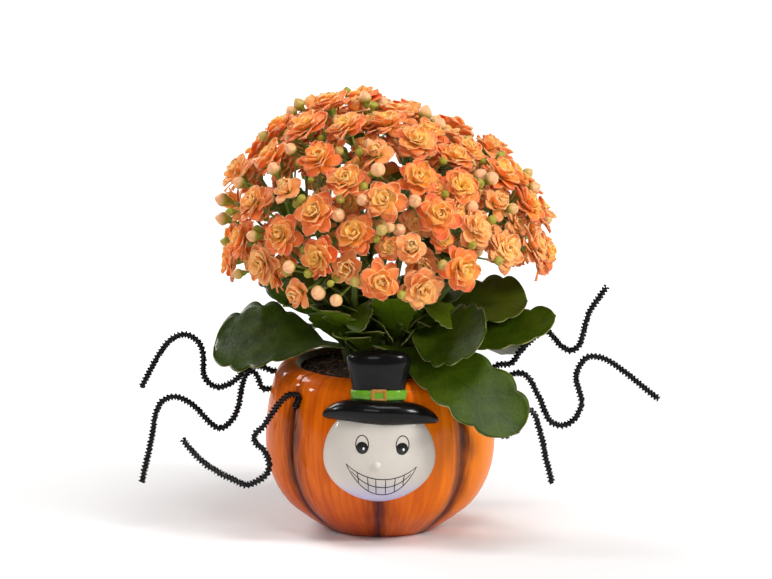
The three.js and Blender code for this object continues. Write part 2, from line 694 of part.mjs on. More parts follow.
function bloomPlaces() {
  const random = randomStream(7);
  const blooms = [];
  for (let i = 0; i < BLOOM_COUNT; i += 1) {
    const direction = spiralDirection(i, BLOOM_COUNT, random);
    const depth = between(BLOOM_DEPTHS, random);
    const halfOpen = i % HALF_OPEN.every === HALF_OPEN.first;
    const size = halfOpen ? HALF_OPEN.size : between(BLOOM_SIZES, random);
    const kind = halfOpen ? "halfOpen" : "open";
    blooms.push({ kind, place: onDome(direction, depth), depth, radius: BLOOM_RADIUS * size });
  }
  for (let round = 0; round < SPREAD.rounds; round += 1) {
    spreadApart(blooms);
  }
  for (const bloom of blooms) {
    bloom.direction = domeDirection(bloom.place);
    const jitter = new THREE.Vector3(random() - 0.5, random() - 0.5, random() - 0.2);
    bloom.facing = bloom.direction.clone().addScaledVector(jitter, BLOOM_FACING_JITTER).normalize();
  }
  return blooms;
}

function spreadApart(blooms) {
  for (let i = 0; i < blooms.length; i += 1) {
    for (let j = i + 1; j < blooms.length; j += 1) {
      const [a, b] = [blooms[i].place, blooms[j].place];
      const away = a.clone().sub(b);
      const shortfall = BLOOM_SPACING - away.length();
      if (shortfall <= 0) continue;
      away.setLength(SPREAD.push * shortfall);
      a.add(away);
      b.sub(away);
    }
  }
  for (const bloom of blooms) {
    const direction = domeDirection(bloom.place);
    direction.z = Math.max(direction.z, skirtHeight(direction));
    bloom.place = onDome(direction.normalize(), bloom.depth);
  }
}

// Buds fill the chinks between blooms, each clear of all that came before
function budPlaces(blooms) {
  const random = randomStream(23);
  const buds = [];
  for (let tries = 0; tries < BUD_TRIES && buds.length < BUD_COUNT; tries += 1) {
    const height = 1 - random() * (1 + HEAD_SKIRT);
    const turn = 2 * Math.PI * random();
    const level = Math.sqrt(1 - height * height);
    const direction = new THREE.Vector3(level * Math.cos(turn), level * Math.sin(turn), height);
    const place = onDome(direction, between(BUD_DEPTHS, random));
    const radius = BUD_RADIUS * between(BUD_SIZES, random);
    if (height < skirtHeight(direction)) continue;
    const clear = blooms.every((bloom) => {
      return bloom.place.distanceTo(place) > bloom.radius + radius + BUD_CLEARANCE;
    });
    if (clear && buds.every((bud) => bud.place.distanceTo(place) > BUD_SPACING)) {
      buds.push({ kind: "bud", place, direction, facing: direction.clone(), radius });
    }
  }
  return buds;
}

function sprayDirection(shoot) {
  return heading(shoot.azimuth, shoot.kind.elevation);
}

function sharedOut(flowers) {
  const shares = SHOOTS.map(() => []);
  for (const flower of flowers) {
    const reach = SHOOTS.map((shoot) => sprayDirection(shoot).dot(flower.direction));
    shares[reach.indexOf(Math.max(...reach))].push(flower);
  }
  return shares;
}

const evenRing = (radius) => new Array(5).fill(radius);
const starRing = (tip, notch) => Array.from({ length: 10 }, (_, i) => (i % 2 ? notch : tip));

// Each kind of flower as rings outwards from its stalk's end: their height over the flower's middle
// and their radii, as shares of its radius. Three whorls of five petals are each turned half a petal
// on the last, by a phase of a tenth of a turn.
const FLOWERS = {
  open: {
    rings: [
      { height: -0.32, radii: evenRing(0.17), phase: 0 },
      { height: 0, radii: starRing(1, 0.72), phase: 0 },
      { height: 0.1, radii: evenRing(0.42), phase: 0.1 },
      { height: 0.36, radii: evenRing(0.8), phase: 0.1 },
      { height: 0.54, radii: evenRing(0.4), phase: 0 },
    ],
    middle: 0.3,
  },
  halfOpen: {
    rings: [
      { height: -0.5, radii: evenRing(0.26), phase: 0 },
      { height: 0.1, radii: starRing(1, 0.7), phase: 0 },
      { height: 0.25, radii: evenRing(0.5), phase: 0.1 },
      { height: 0.62, radii: evenRing(0.56), phase: 0.1 },
    ],
    middle: 0.55,
  },
  bud: {
    rings: [
      { height: -1, radii: [0.3, 0.3, 0.3], phase: 0 },
      { height: 0, radii: evenRing(1), phase: 0 },
    ],
    middle: 1.25,
  },
};

// A flower on its stalk. The stalk is a list of places with the radius and sides it has there.
function flowerOnStalk(flower, stalk) {
  const { facing, radius, place } = flower;
  const faceAxes = crossAxes(facing, REFERENCE);
  const level = (height) => place.clone().addScaledVector(facing, height * radius);
  const line = [...stalk.map((knot) => knot.place), place];
  const stalkRings = stalk.map((knot, i) => {
    const axis = line[i + 1].clone().sub(line[i]).normalize();
    return ringAt(knot.place, crossAxes(axis, faceAxes[0]), new Array(knot.sides).fill(knot.radius));
  });
  const { rings, middle } = FLOWERS[flower.kind];
  const petalRings = rings.map(({ height, radii, phase }) => {
    return ringAt(level(height), faceAxes, radii.map((share) => share * radius), phase);
  });
  return loft([point(line[0]), ...stalkRings, ...petalRings, point(level(middle))]);
}

// Splits a spray's blooms and buds into small groups, by their turn round its axis
function groupsOf(flowers, axis) {
  const [across, along] = crossAxes(axis, new THREE.Vector3(0.2, 0.5, 0.8));
  const turned = flowers.map((flower) => {
    return { flower, turn: Math.atan2(flower.direction.dot(along), flower.direction.dot(across)) };
  });
  turned.sort((a, b) => a.turn - b.turn);
  const groupCount = Math.max(1, Math.round(flowers.length / FLOWERS_PER_FORK));
  const groups = Array.from({ length: groupCount }, () => []);
  turned.forEach(({ flower }, i) => groups[Math.floor((i * groupCount) / turned.length)].push(flower));
  return groups;
}

function spray(shoot, flowers) {
  const { hubElevation, hubReach } = shoot.kind;
  const axis = jointAxis(shoot);
  const start = shootJoint(shoot).addScaledVector(axis, GAP / 2);
  const hub = onDome(heading(shoot.azimuth, hubElevation), hubReach);
  const straight = start.clone().addScaledVector(axis, STEM_STRAIGHT);
  const line = smoothLine([start, straight, hub], PEDUNCLE_RADII.length - 1);
  const solids = [sweep(line, PEDUNCLE_RADII, STEM_SIDES)];
  for (const group of groupsOf(flowers, sprayDirection(shoot))) {
    const mean = new THREE.Vector3();
    group.forEach((flower) => mean.add(flower.direction));
    const fork = onDome(mean.normalize(), FORK_REACH);
    const inward = hub.clone().sub(fork).normalize();
    const centred = (flower) => flower.direction.dot(mean) - (flower.kind === "bud" ? 1 : 0);
    const [leader, ...others] = group.sort((a, b) => centred(b) - centred(a));
    const root = { place: hub.clone().add(inward), radius: BRANCH_RADIUS, sides: 4 };
    solids.push(flowerOnStalk(leader, [root, { ...root, place: fork }]));
    others.forEach((flower, i) => {
      const place = fork.clone().addScaledVector(inward, FORK_SPACING * (i + 0.5));
      solids.push(flowerOnStalk(flower, [{ place, radius: STALK_ROOT_RADIUS, sides: 3 }]));
    });
  }
  return fuse(solids);
}

function kalanchoe() {
  const plant = new THREE.Group();
  plant.add(node("pot", pot(), LOOKS.pot));
  plant.add(node("soil", soil(SHOOTS.map((shoot) => stemSolid(shoot, GAP))), LOOKS.soil));
  for (const leg of LEGS) {
    plant.add(node(leg.name, legSolid(leg), LOOKS.leg));
  }
  const blooms = bloomPlaces();
  const shares = sharedOut([...blooms, ...budPlaces(blooms)]);
  SHOOTS.forEach((shoot, i) => {
    plant.add(node(`leafy_stem_${shoot.name}`, leafyStem(shoot), LOOKS.leaf));
    plant.add(node(`flower_spray_${shoot.name}`, spray(shoot, shares[i]), LOOKS.spray));
  });
  return plant;
}

export default kalanchoe();
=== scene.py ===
import math

import bpy
import numpy as np
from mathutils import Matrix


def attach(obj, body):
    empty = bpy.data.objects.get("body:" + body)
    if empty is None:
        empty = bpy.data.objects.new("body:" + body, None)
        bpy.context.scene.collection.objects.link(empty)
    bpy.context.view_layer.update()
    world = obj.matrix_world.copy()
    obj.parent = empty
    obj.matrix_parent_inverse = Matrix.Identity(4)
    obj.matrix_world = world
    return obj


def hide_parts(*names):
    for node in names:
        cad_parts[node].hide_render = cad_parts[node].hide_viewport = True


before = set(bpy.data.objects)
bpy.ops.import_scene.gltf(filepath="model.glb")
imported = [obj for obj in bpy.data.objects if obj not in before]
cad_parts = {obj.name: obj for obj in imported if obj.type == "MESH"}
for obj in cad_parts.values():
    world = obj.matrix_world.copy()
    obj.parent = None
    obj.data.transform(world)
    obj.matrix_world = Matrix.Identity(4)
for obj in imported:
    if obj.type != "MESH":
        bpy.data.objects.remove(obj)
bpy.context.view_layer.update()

MM = 0.001

# Photograph: its camera's height angle, and the point it looks at
CAMERA_ELEVATION = 12.0
CAMERA_AIM = (2.75, 0.0, 120.8)
CAMERA_FOCAL = 600.0
CAMERA_SENSOR = 36.0
FRAME_WIDTH = 386.0
FLOOR_HALF = 14.0
WORLD_STRENGTH = 0.12

# Pot: radius and height pairs down the outside, then down the inside to the soil
POT_OUTSIDE = [
    (27, 0), (32.5, 3.3), (40.5, 9), (47, 14.5), (52.8, 23), (57, 34),
    (58.4, 46), (57.8, 58), (55.8, 70), (52.6, 79.2), (47.6, 83.2), (42.6, 84),
]
POT_INSIDE = [(39.6, 82.4), (40, 79.6), (47.5, 76)]
GROOVES = [-51.5, -1.5, 46.5, 91, 135, 179, 223, 266]
GROOVE_DEPTH = 2.8
GROOVE_FULL = 14
GROOVE_FADE = (68, 84, 0.75)
GROOVE_SHARPNESS = 2.5
STEPS_PER_LOBE = 28
POT_WIDTH = 117
POT_GIRTH_RADIUS = 58
POT_STEPS = {"outside": 66, "inside": 12}
POT_FOOT = [(0.01, 0.6), (14, 0.6), (26.3, 0.6), (27, 0)]
# A turned or ball-shaped surface stops a hair short of its axis
POLE_GAP = 0.001
LEAST_RADIUS = 0.02

FACE_CENTRE = np.array([-0.5, -49, 47.0])
FACE_RADII = np.array([28.3, 13.6, 23.4])
FACE_UPPER_RADIUS = 30
NOSE_CENTRE = np.array([-2, -62, 44.6])
NOSE_RADII = np.array([2.6, 2.2, 2.4])
BRIM = {"half_width": 29, "height": 71, "tilt": 0.05, "droop": 4.8, "up": 6, "down": 7, "depth": 7.5,
        "wall": 57, "sunk": 0.5}
CROWN_FOOT = np.array([-0.8, -50.5, 73.0])
CROWN_LEAN = 8
CROWN_FLATNESS = 0.55
CROWN_PROFILE = [(0, 0), (13, 0), (13.2, 8), (14.5, 15), (15.9, 20.8), (15.2, 24.8), (11, 26.8), (0, 27.2)]
BAND = {"low": 2.6, "high": 7.6, "radius": 14.15}
BAND_ROUNDING = [(-2, 0), (-0.35, 0.05), (0, 0.5)]
BUCKLE = {"width": 8, "height": 6.4, "centre_height": 5, "forward": 7.5, "corner": 0.24, "steps": 48}
# The buckle's bar from its outer to its inner edge: inset, and rise towards the front
BUCKLE_BAR = [(0, 0.0), (0, 0.7), (0.18, 1.05), (0.5, 1.2), (1.3, 1.2), (1.65, 1.0), (1.8, 0.6), (1.8, -0.4)]
CROWN_STEPS = {"up": 40, "around": 96}
BRIM_STEPS = {"around": 72, "down": 36}

# Face paint: the eyes' and pupils' middles, their half widths and heights, and the grin's curves
EYES = [((-9.1, 55.2), (-9.1, 53.5)), ((11.0, 54.8), (10.75, 52.9))]
EYE = {"half": (3.15, 4.5), "line": 0.5, "steps": 48}
PUPIL = {"half": (2.95, 3.05), "lift": 0.12}
GLINT = {"offset": (0.7, -0.35), "half": (0.6, 0.85), "lift": 0.22}
GRIN = {"middle": 0.4, "reach": 17.55, "corner": 44.3, "tilt": -0.05, "line": 0.55, "steps": 60}
GRIN_SAGS = {"upper": 7.0, "middle": 11.4, "lower": 15.6}
GRIN_HALVES = {"upper": 1.0, "middle": 0.845, "lower": 1.0}
TOOTH_GAPS = (-11.75, -6.55, -2.4, 2.6, 7.4, 12.0)
TOOTH = {"line": 0.48, "steps": 12, "bow": 0.35, "narrowing": 0.93}
PAINT_LIFT = 0.05
DISC_SHARES = np.array([0.02, 0.4, 0.75, 1.0])
DISC_STEPS = 40

SOIL_TOP = [(39.4, 80.6), (38.4, 80.9), (29, 82.8), (16, 84.4), (0, 85)]
SOIL_STEPS = {"across": 46, "around": 150}
SOIL_LUMPS = 0.9
SOIL_SEED = 5
CRUMBS = {"count": 900, "reach": 38}
FIBRES = {"count": 260, "reach": 38.5}
FIBRE_RADII = np.array([0.08, 0.16, 0.18, 0.16, 0.12, 0.06])

LEG_STUB = 3.5
LEG_ROOT = 9
LEG_CORE = 1.05
LEG_FUZZ = (1.75, 2.25)
LEG_TWIST = 3.7
TUFTS_PER_MM = 26

STEM_RADIUS = 2.5
STEM_TAPER = 0.06
STEM_FOOT_HEIGHT = 68
STEM_EXIT = (86, 0.5)
STEM_STRAIGHT = 6
GAP = 0.35

HEAD_CENTRE = np.array([4, 0, 142.0])
HEAD_REACH = np.array([76, 74, 76.0])
HEAD_SKIRT = 0.14
SKIRT_LIFT = {"azimuth": 325, "rise": 0.26, "sharpness": 6}
# Where the dome swells out or sinks in: azimuth, elevation and share of its reach
HEAD_SWELLS = [(0, 66, -0.17), (0, 8, 0.05), (184, 28, 0.09), (182, 76, 0.05)]
SWELL_SHARPNESS = 8
BLOOM_COUNT = 80
BLOOM_SPACING = 22.2
BLOOM_RADIUS = 10.7
BLOOM_DEPTHS = (0.97, 1.03)
BLOOM_SIZES = (0.94, 1.06)
BLOOM_TURN_JITTER = 0.25
FACING_JITTER = 0.5
HALF_OPEN = {"every": 6, "first": 3, "size": 0.68}
SPREAD = {"rounds": 60, "push": 0.4}
BUD_COUNT = 30
BUD_TRIES = 4000
BUD_RADIUS = 3.3
BUD_DEPTHS = (1.02, 1.07)
BUD_SIZES = (0.85, 1.2)
BUD_CLEARANCE = 0.6
BUD_SPACING = 9
# Flowers that the solids leave out, in the chinks between the others
CHINK_BLOOMS = {"count": 70, "tries": 16000, "clear": 11.2, "apart": 12.5, "depths": (0.84, 0.96),
                "radii": (6.8, 9.2), "half_open": 0.45, "half_open_size": 0.85}
EXTRA_BUDS = {"count": 120, "tries": 12000, "clear": 0.62, "apart": 0.95, "depths": (0.93, 1.04),
              "radii": (1.8, 3.8), "below_skirt": 0.05}
FLOWERS_PER_FORK = 4.4
FORK_REACH = 0.7
FORK_SPACING = 2.6
# Stalks: steps along, radii at the ends, sides, and paleness at the ends
STALKS = {
    "main": (12, (2.0, 1.6), 10, (0.0, 0.0)), "fork": (6, (1.5, 1.1), 8, (0.1, 0.1)),
    "flower": (6, (0.85, 0.6), 6, (0.1, 0.6)), "extra": (5, (0.75, 0.5), 5, (0.1, 0.6)),
}
BRACTS_PER_FORK = 3
REFERENCE = np.array([0.31, 0.87, 0.38])

OUTER = {"foot": 16, "reach": 26, "height": 113, "steepness": 52, "elevation": 12,
         "hub_elevation": -10, "hub_reach": 0.52}
INNER = {"foot": 6, "reach": 8, "height": 121, "steepness": 80, "elevation": 58,
         "hub_elevation": 58, "hub_reach": 0.4}
SHOOTS = {
    "left": (195, OUTER), "front_left": (245, OUTER), "front_right": (295, OUTER), "right": (345, OUTER),
    "back_right": (37, OUTER), "back": (91, OUTER), "back_left": (144, OUTER),
    "top_front": (270, INNER), "top_right": (30, INNER), "top_left": (150, INNER),
}

# Leaves: height on the stem, azimuth, rise at the root, droop to the tip, length, half width, roll
LEAVES = {
    "left": [(92, 170, 8, 20, 67.5, 28, -22), (105, 184, 15, -36, 46, 15, 30),
             (103, 166, 52, 10, 46, 11, 0)],
    "front_left": [(97, 325, -1, 38, 101, 17.5, 36), (101, 228, 36, 14, 38, 11, 0),
                   (93, 246, 44, 40, 28, 9, 0)],
    "front_right": [(107, 325.5, -21, -50, 54.5, 18.8, 42), (107.5, 8, 24, 62, 32.5, 9.6, 27.5),
                    (97, 264, 56, 20, 40, 11, 0)],
    "right": [(99.5, 354.5, -12, -41, 71, 13, 28), (103, 20, 44, 10, 36, 10, 0)],
    "back_right": [(95.5, 1, 29.5, 27, 61.5, 24, 15), (93, 45, 10, 50, 70, 25, 0),
                   (104, 58, 50, 24, 42, 13, 0)],
    "back": [(97, 80, 15, 50, 68, 25, -8), (104, 112, 38, 34, 46, 15, 8)],
    "back_left": [(94, 128, 12, 45, 70, 25, 8), (104, 154, 36, 35, 50, 16, -10)],
}
# Small leaves that the solids leave out: those that fill the plant's middle, by their number on a
# stem, and some that the photograph shows, by their root and the same settings as above
MIDDLE_LEAVES = {"outer": 6, "inner": 5}
SHOWN_LEAVES = [
    ((-3, -27, 123), 232, -28, 36, 22, 7.5, 10),
    ((-24, -8, 115), 190, 4, 8, 25, 6, 0),
    ((0, -24, 103), 265, 80, 10, 17, 3, 0),
    ((13, -24, 104), 300, 76, 6, 20, 3.6, 0),
    ((18, -23, 118), 342, -4, 40, 24, 8, 24),
]
LEAF_STEPS = 12
PETIOLE = {"share": 0.15, "half": 0.14, "taper": 0.5}
LEAF_OVAL = (0.85, 0.45)
LEAF_SCALLOP = {"depth": 0.1, "from": 0.15, "full": 0.5}
LEAF_CUP = 0.14
LEAF_ROLLED_BY = 0.45

# Legs: name, hole's angle and height, exit, plane, and the route as (out, up) pairs
LEGS = [
    ("leg_left_upper", (-106, 76), 166, 171,
     [(9, 78), (17, 76), (20, 72), (25.5, 68), (31, 66.5), (35.5, 69), (38, 73.5), (38, 79.5),
      (38.5, 85.5), (42, 91), (48, 93), (54, 90.5), (58.5, 85.5), (64, 76), (69.5, 65)]),
    ("leg_left_middle", (-85, 71), 184, 183,
     [(7, 78.5), (10, 80.5), (12.8, 77), (14.5, 71), (15.5, 64.5), (17.5, 58), (21, 53.5), (25, 51),
      (29, 53), (33, 57), (38, 62.5), (44, 66.5), (49, 67.5), (54.5, 65), (57.5, 58.5), (59, 49),
      (61.5, 37), (64.5, 24)]),
    ("leg_left_lower", (-51.5, 69), 258, 192,
     [(1.5, 74), (7, 75), (12, 70.5), (16.5, 64.5), (20.5, 59), (24, 56), (24.5, 52.5), (19.5, 47),
      (17, 41), (18, 35.5), (22.5, 32), (28.5, 30), (34, 32.5), (41.5, 36.5), (49.5, 42), (55.5, 48),
      (61, 55)]),
    ("leg_right_upper", (107, 76), 16, 8,
     [(8, 78.5), (14.5, 79), (18.5, 84.5), (25.5, 91.5), (32, 95.5), (36, 91.5), (40.5, 86.5),
      (45, 84.5), (49, 87.5), (50.5, 92), (52, 98), (54, 104), (57.5, 109.5), (63, 117)]),
    ("leg_right_middle", (88, 73), -2, -3,
     [(8, 75.5), (11.5, 78), (16, 78.5), (20, 75.5), (22.5, 70.5), (25.5, 64.5), (27.5, 59), (30, 54.5),
      (35, 52), (41, 54), (44.5, 59), (46, 64), (44.5, 70.5), (43, 76), (44.5, 82), (48.5, 87), (53, 87.5),
      (58.5, 86), (64.5, 82), (70.5, 77.5), (77, 72), (84.5, 66)]),
    ("leg_right_lower", (46.5, 69), -72, -8,
     [(3, 72.5), (9, 71), (15, 64), (21, 57.5), (26.5, 55.5), (30, 59.5), (32, 65.5), (35, 69),
      (38, 69.5), (41, 66.5), (43, 60), (45, 52.5), (46.5, 44.5), (48.5, 37), (49.5, 32)]),
]


# Numbers and vectors
def random_stream(seed):
    """The same repeatable stream of numbers from 0 to 1 as the solids are placed with."""
    word = 0xFFFFFFFF
    state = seed

    def draw():
        nonlocal state
        state = (state + 0x6D2B79F5) & word
        mixed = ((state ^ (state >> 15)) * (1 | state)) & word
        mixed = ((mixed + (((mixed ^ (mixed >> 7)) * (61 | mixed)) & word)) & word) ^ mixed
        return ((mixed ^ (mixed >> 14)) & word) / 4294967296

    return draw


def between(pair, draw):
    return pair[0] + (pair[1] - pair[0]) * draw()


def smoothstep(x, low, high):
    t = np.clip((np.asarray(x, dtype=float) - low) / (high - low), 0, 1)
    return t * t * (3 - 2 * t)


def unit(vector):
    vector = np.asarray(vector, dtype=float)
    return vector / np.linalg.norm(vector)


def heading(azimuth, elevation=0.0):
    a, e = math.radians(azimuth), math.radians(elevation)
    return np.array([math.cos(a) * math.cos(e), math.sin(a) * math.cos(e), math.sin(e)])


def turned(vector, axis, angle):
    """A vector turned about an axis by an angle in radians."""
    cosine, sine = math.cos(angle), math.sin(angle)
    return vector * cosine + np.cross(axis, vector) * sine + axis * np.dot(axis, vector) * (1 - cosine)


def full_turn(count):
    """Angles in radians, evenly spaced round a circle."""
    return 2 * np.pi * np.arange(count) / count


def pole_to_pole(rows):
    fall = np.arange(rows + 1) + POLE_GAP
    return np.pi * fall / (rows + 2 * POLE_GAP)


def lathed(radius, height, columns, flatness=1.0):
    """A profile turned about the vertical axis, as a grid of points."""
    turn = full_turn(columns)
    return np.stack([np.outer(radius, np.cos(turn)), flatness * np.outer(radius, np.sin(turn)),
                     np.outer(height, np.ones(columns))], -1)


def cross_axes(axis, reference):
    across = unit(reference - axis * np.dot(reference, axis))
    return across, np.cross(axis, across)


def smooth_line(controls, steps):
    """A centripetal Catmull-Rom curve through the controls."""
    points = [np.asarray(c, dtype=float) for c in controls]
    last = len(points) - 1
    line = []
    for k in range(steps + 1):
        place = last * k / steps
        i = min(int(place), last - 1)
        w = place - i
        p1, p2 = points[i], points[i + 1]
        p0 = points[i - 1] if i > 0 else 2 * p1 - p2
        p3 = points[i + 2] if i + 2 <= last else 2 * p2 - p1
        d0, d1, d2 = (max(np.linalg.norm(b - a) ** 0.5, 1e-4) for a, b in ((p0, p1), (p1, p2), (p2, p3)))
        t1 = ((p1 - p0) / d0 - (p2 - p0) / (d0 + d1) + (p2 - p1) / d1) * d1
        t2 = ((p2 - p1) / d1 - (p3 - p1) / (d1 + d2) + (p3 - p2) / d2) * d1
        line.append(p1 + t1 * w + (-3 * p1 + 3 * p2 - 2 * t1 - t2) * w * w
                    + (2 * p1 - 2 * p2 + t1 + t2) * w ** 3)
    return np.array(line)


def srgb(red, green, blue):
    """A colour given as it looks on a screen, 0 to 255, as linear light."""
    shares = [c / 255 for c in (red, green, blue)]
    return tuple(c / 12.92 if c <= 0.04045 else ((c + 0.055) / 1.055) ** 2.4 for c in shares) + (1.0,)


# Meshes
def grid_quads(rows, columns, closed=False):
    across = columns if closed else columns - 1
    i, j = np.meshgrid(np.arange(rows - 1), np.arange(across), indexing="ij")
    i, j = i.ravel(), j.ravel()
    k = (j + 1) % columns
    return np.stack([i * columns + j, i * columns + k, (i + 1) * columns + k, (i + 1) * columns + j], 1)


class Skin:
    """Collects the surfaces of one piece, with painted values at their corners."""

    def __init__(self, *value_names):
        self.value_names = value_names
        self.corners, self.faces, self.slots, self.values = [], [], [], []
        self.count = 0

    def add(self, corners, faces, slot=0, **values):
        corners = np.asarray(corners, dtype=float).reshape(-1, 3)
        size = len(corners)
        columns = [np.broadcast_to(np.ravel(values.get(name, 0.0)), (size,)) for name in self.value_names]
        self.values.append(np.stack(columns, 1) if columns else np.zeros((size, 0)))
        for block in faces:
            block = np.asarray(block, dtype=int)
            if len(block):
                self.faces.append(block + self.count)
                self.slots.append(np.full(len(block), slot))
        self.corners.append(corners)
        self.count += size

    def grid(self, points, closed=False, slot=0, flip=False, **values):
        """A surface over a grid of points, rows by columns."""
        quads = grid_quads(*points.shape[:2], closed=closed)
        self.add(points, [quads[:, ::-1] if flip else quads], slot, **values)

    def tube(self, line, radii, sides, slot=0, **values):
        """A round bar with closed ends along a line."""
        line = np.asarray(line, dtype=float)
        radii = np.broadcast_to(np.asarray(radii, dtype=float), (len(line),))
        reference = REFERENCE
        turns = full_turn(sides)
        rings = []
        for i, place in enumerate(line):
            axis = unit(line[min(i + 1, len(line) - 1)] - line[max(i - 1, 0)])
            across, along = cross_axes(axis, reference)
            reference = across
            spokes = np.outer(np.cos(turns), across) + np.outer(np.sin(turns), along)
            rings.append(place + radii[i] * spokes)
        corners = np.concatenate(rings + [line[:1], line[-1:]])
        quads = grid_quads(len(line), sides, closed=True)
        first, end = len(line) * sides, len(line) * sides + 1
        j = np.arange(sides)
        k = (j + 1) % sides
        base = (len(line) - 1) * sides
        caps = np.concatenate([np.stack([np.full(sides, first), k, j], 1),
                               np.stack([np.full(sides, end), base + j, base + k], 1)])
        spread = {name: np.concatenate([np.repeat(value, sides), value[:1], value[-1:]])
                  if np.ndim(value) == 1 and len(value) == len(line) else value
                  for name, value in values.items()}
        self.add(corners, [quads, caps], slot, **spread)

    def shell(self, points, thickness, slot=0, rim=0.35, **values):
        """A thin closed blade on a grid of points, rows along it and columns across it."""
        rows, columns, _ = points.shape
        along = np.gradient(points, axis=0)
        across = np.gradient(points, axis=1)
        normal = np.cross(across, along)
        normal /= np.maximum(np.linalg.norm(normal, axis=2, keepdims=True), 1e-9)
        u = np.abs(np.linspace(-1, 1, columns))[None, :]
        lens = (rim + (1 - rim) * (1 - u ** 2))[..., None] * np.ones((rows, 1, 1))
        half = np.asarray(thickness, dtype=float).reshape(-1, 1, 1) / 2 * lens
        corners = np.stack([points + normal * half, points - normal * half])
        top = grid_quads(rows, columns)
        size = rows * columns
        under = top[:, ::-1] + size
        ring = np.concatenate([np.arange(columns), np.arange(1, rows) * columns + columns - 1,
                               (rows - 1) * columns + np.arange(columns - 2, -1, -1),
                               np.arange(rows - 2, 0, -1) * columns])
        after = np.roll(ring, -1)
        sides = np.stack([ring, ring + size, after + size, after], 1)
        both = {name: np.concatenate([np.ravel(value), np.ravel(value)]) if np.size(value) == size else value
                for name, value in values.items()}
        self.add(corners, [top, under, sides], slot, **both)

    def piece(self, name, materials, smooth=True):
        mesh = bpy.data.meshes.new(name)
        corners = np.concatenate(self.corners) * MM
        mesh.vertices.add(len(corners))
        mesh.vertices.foreach_set("co", corners.astype(np.float32).ravel())
        sizes = np.concatenate([np.full(len(block), block.shape[1]) for block in self.faces])
        loops = np.concatenate([block.ravel() for block in self.faces])
        mesh.loops.add(len(loops))
        mesh.loops.foreach_set("vertex_index", loops.astype(np.int32))
        mesh.polygons.add(len(sizes))
        mesh.polygons.foreach_set("loop_start", (np.cumsum(sizes) - sizes).astype(np.int32))
        mesh.polygons.foreach_set("material_index", np.concatenate(self.slots).astype(np.int32))
        mesh.polygons.foreach_set("use_smooth", np.full(len(sizes), smooth))
        mesh.update(calc_edges=True)
        if self.value_names:
            values = np.concatenate(self.values)
            for k, value_name in enumerate(self.value_names):
                layer = mesh.attributes.new(value_name, "FLOAT", "POINT")
                layer.data.foreach_set("value", values[:, k].astype(np.float32))
        for material in materials:
            mesh.materials.append(material)
        made = bpy.data.objects.new(name, mesh)
        bpy.context.scene.collection.objects.link(made)
        return made


def dress(made, slot, *nodes):
    """Seats a piece on the body and hides the solids that it stands for; its slot is not used."""
    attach(made, "root")
    if nodes:
        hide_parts(*nodes)
    return made


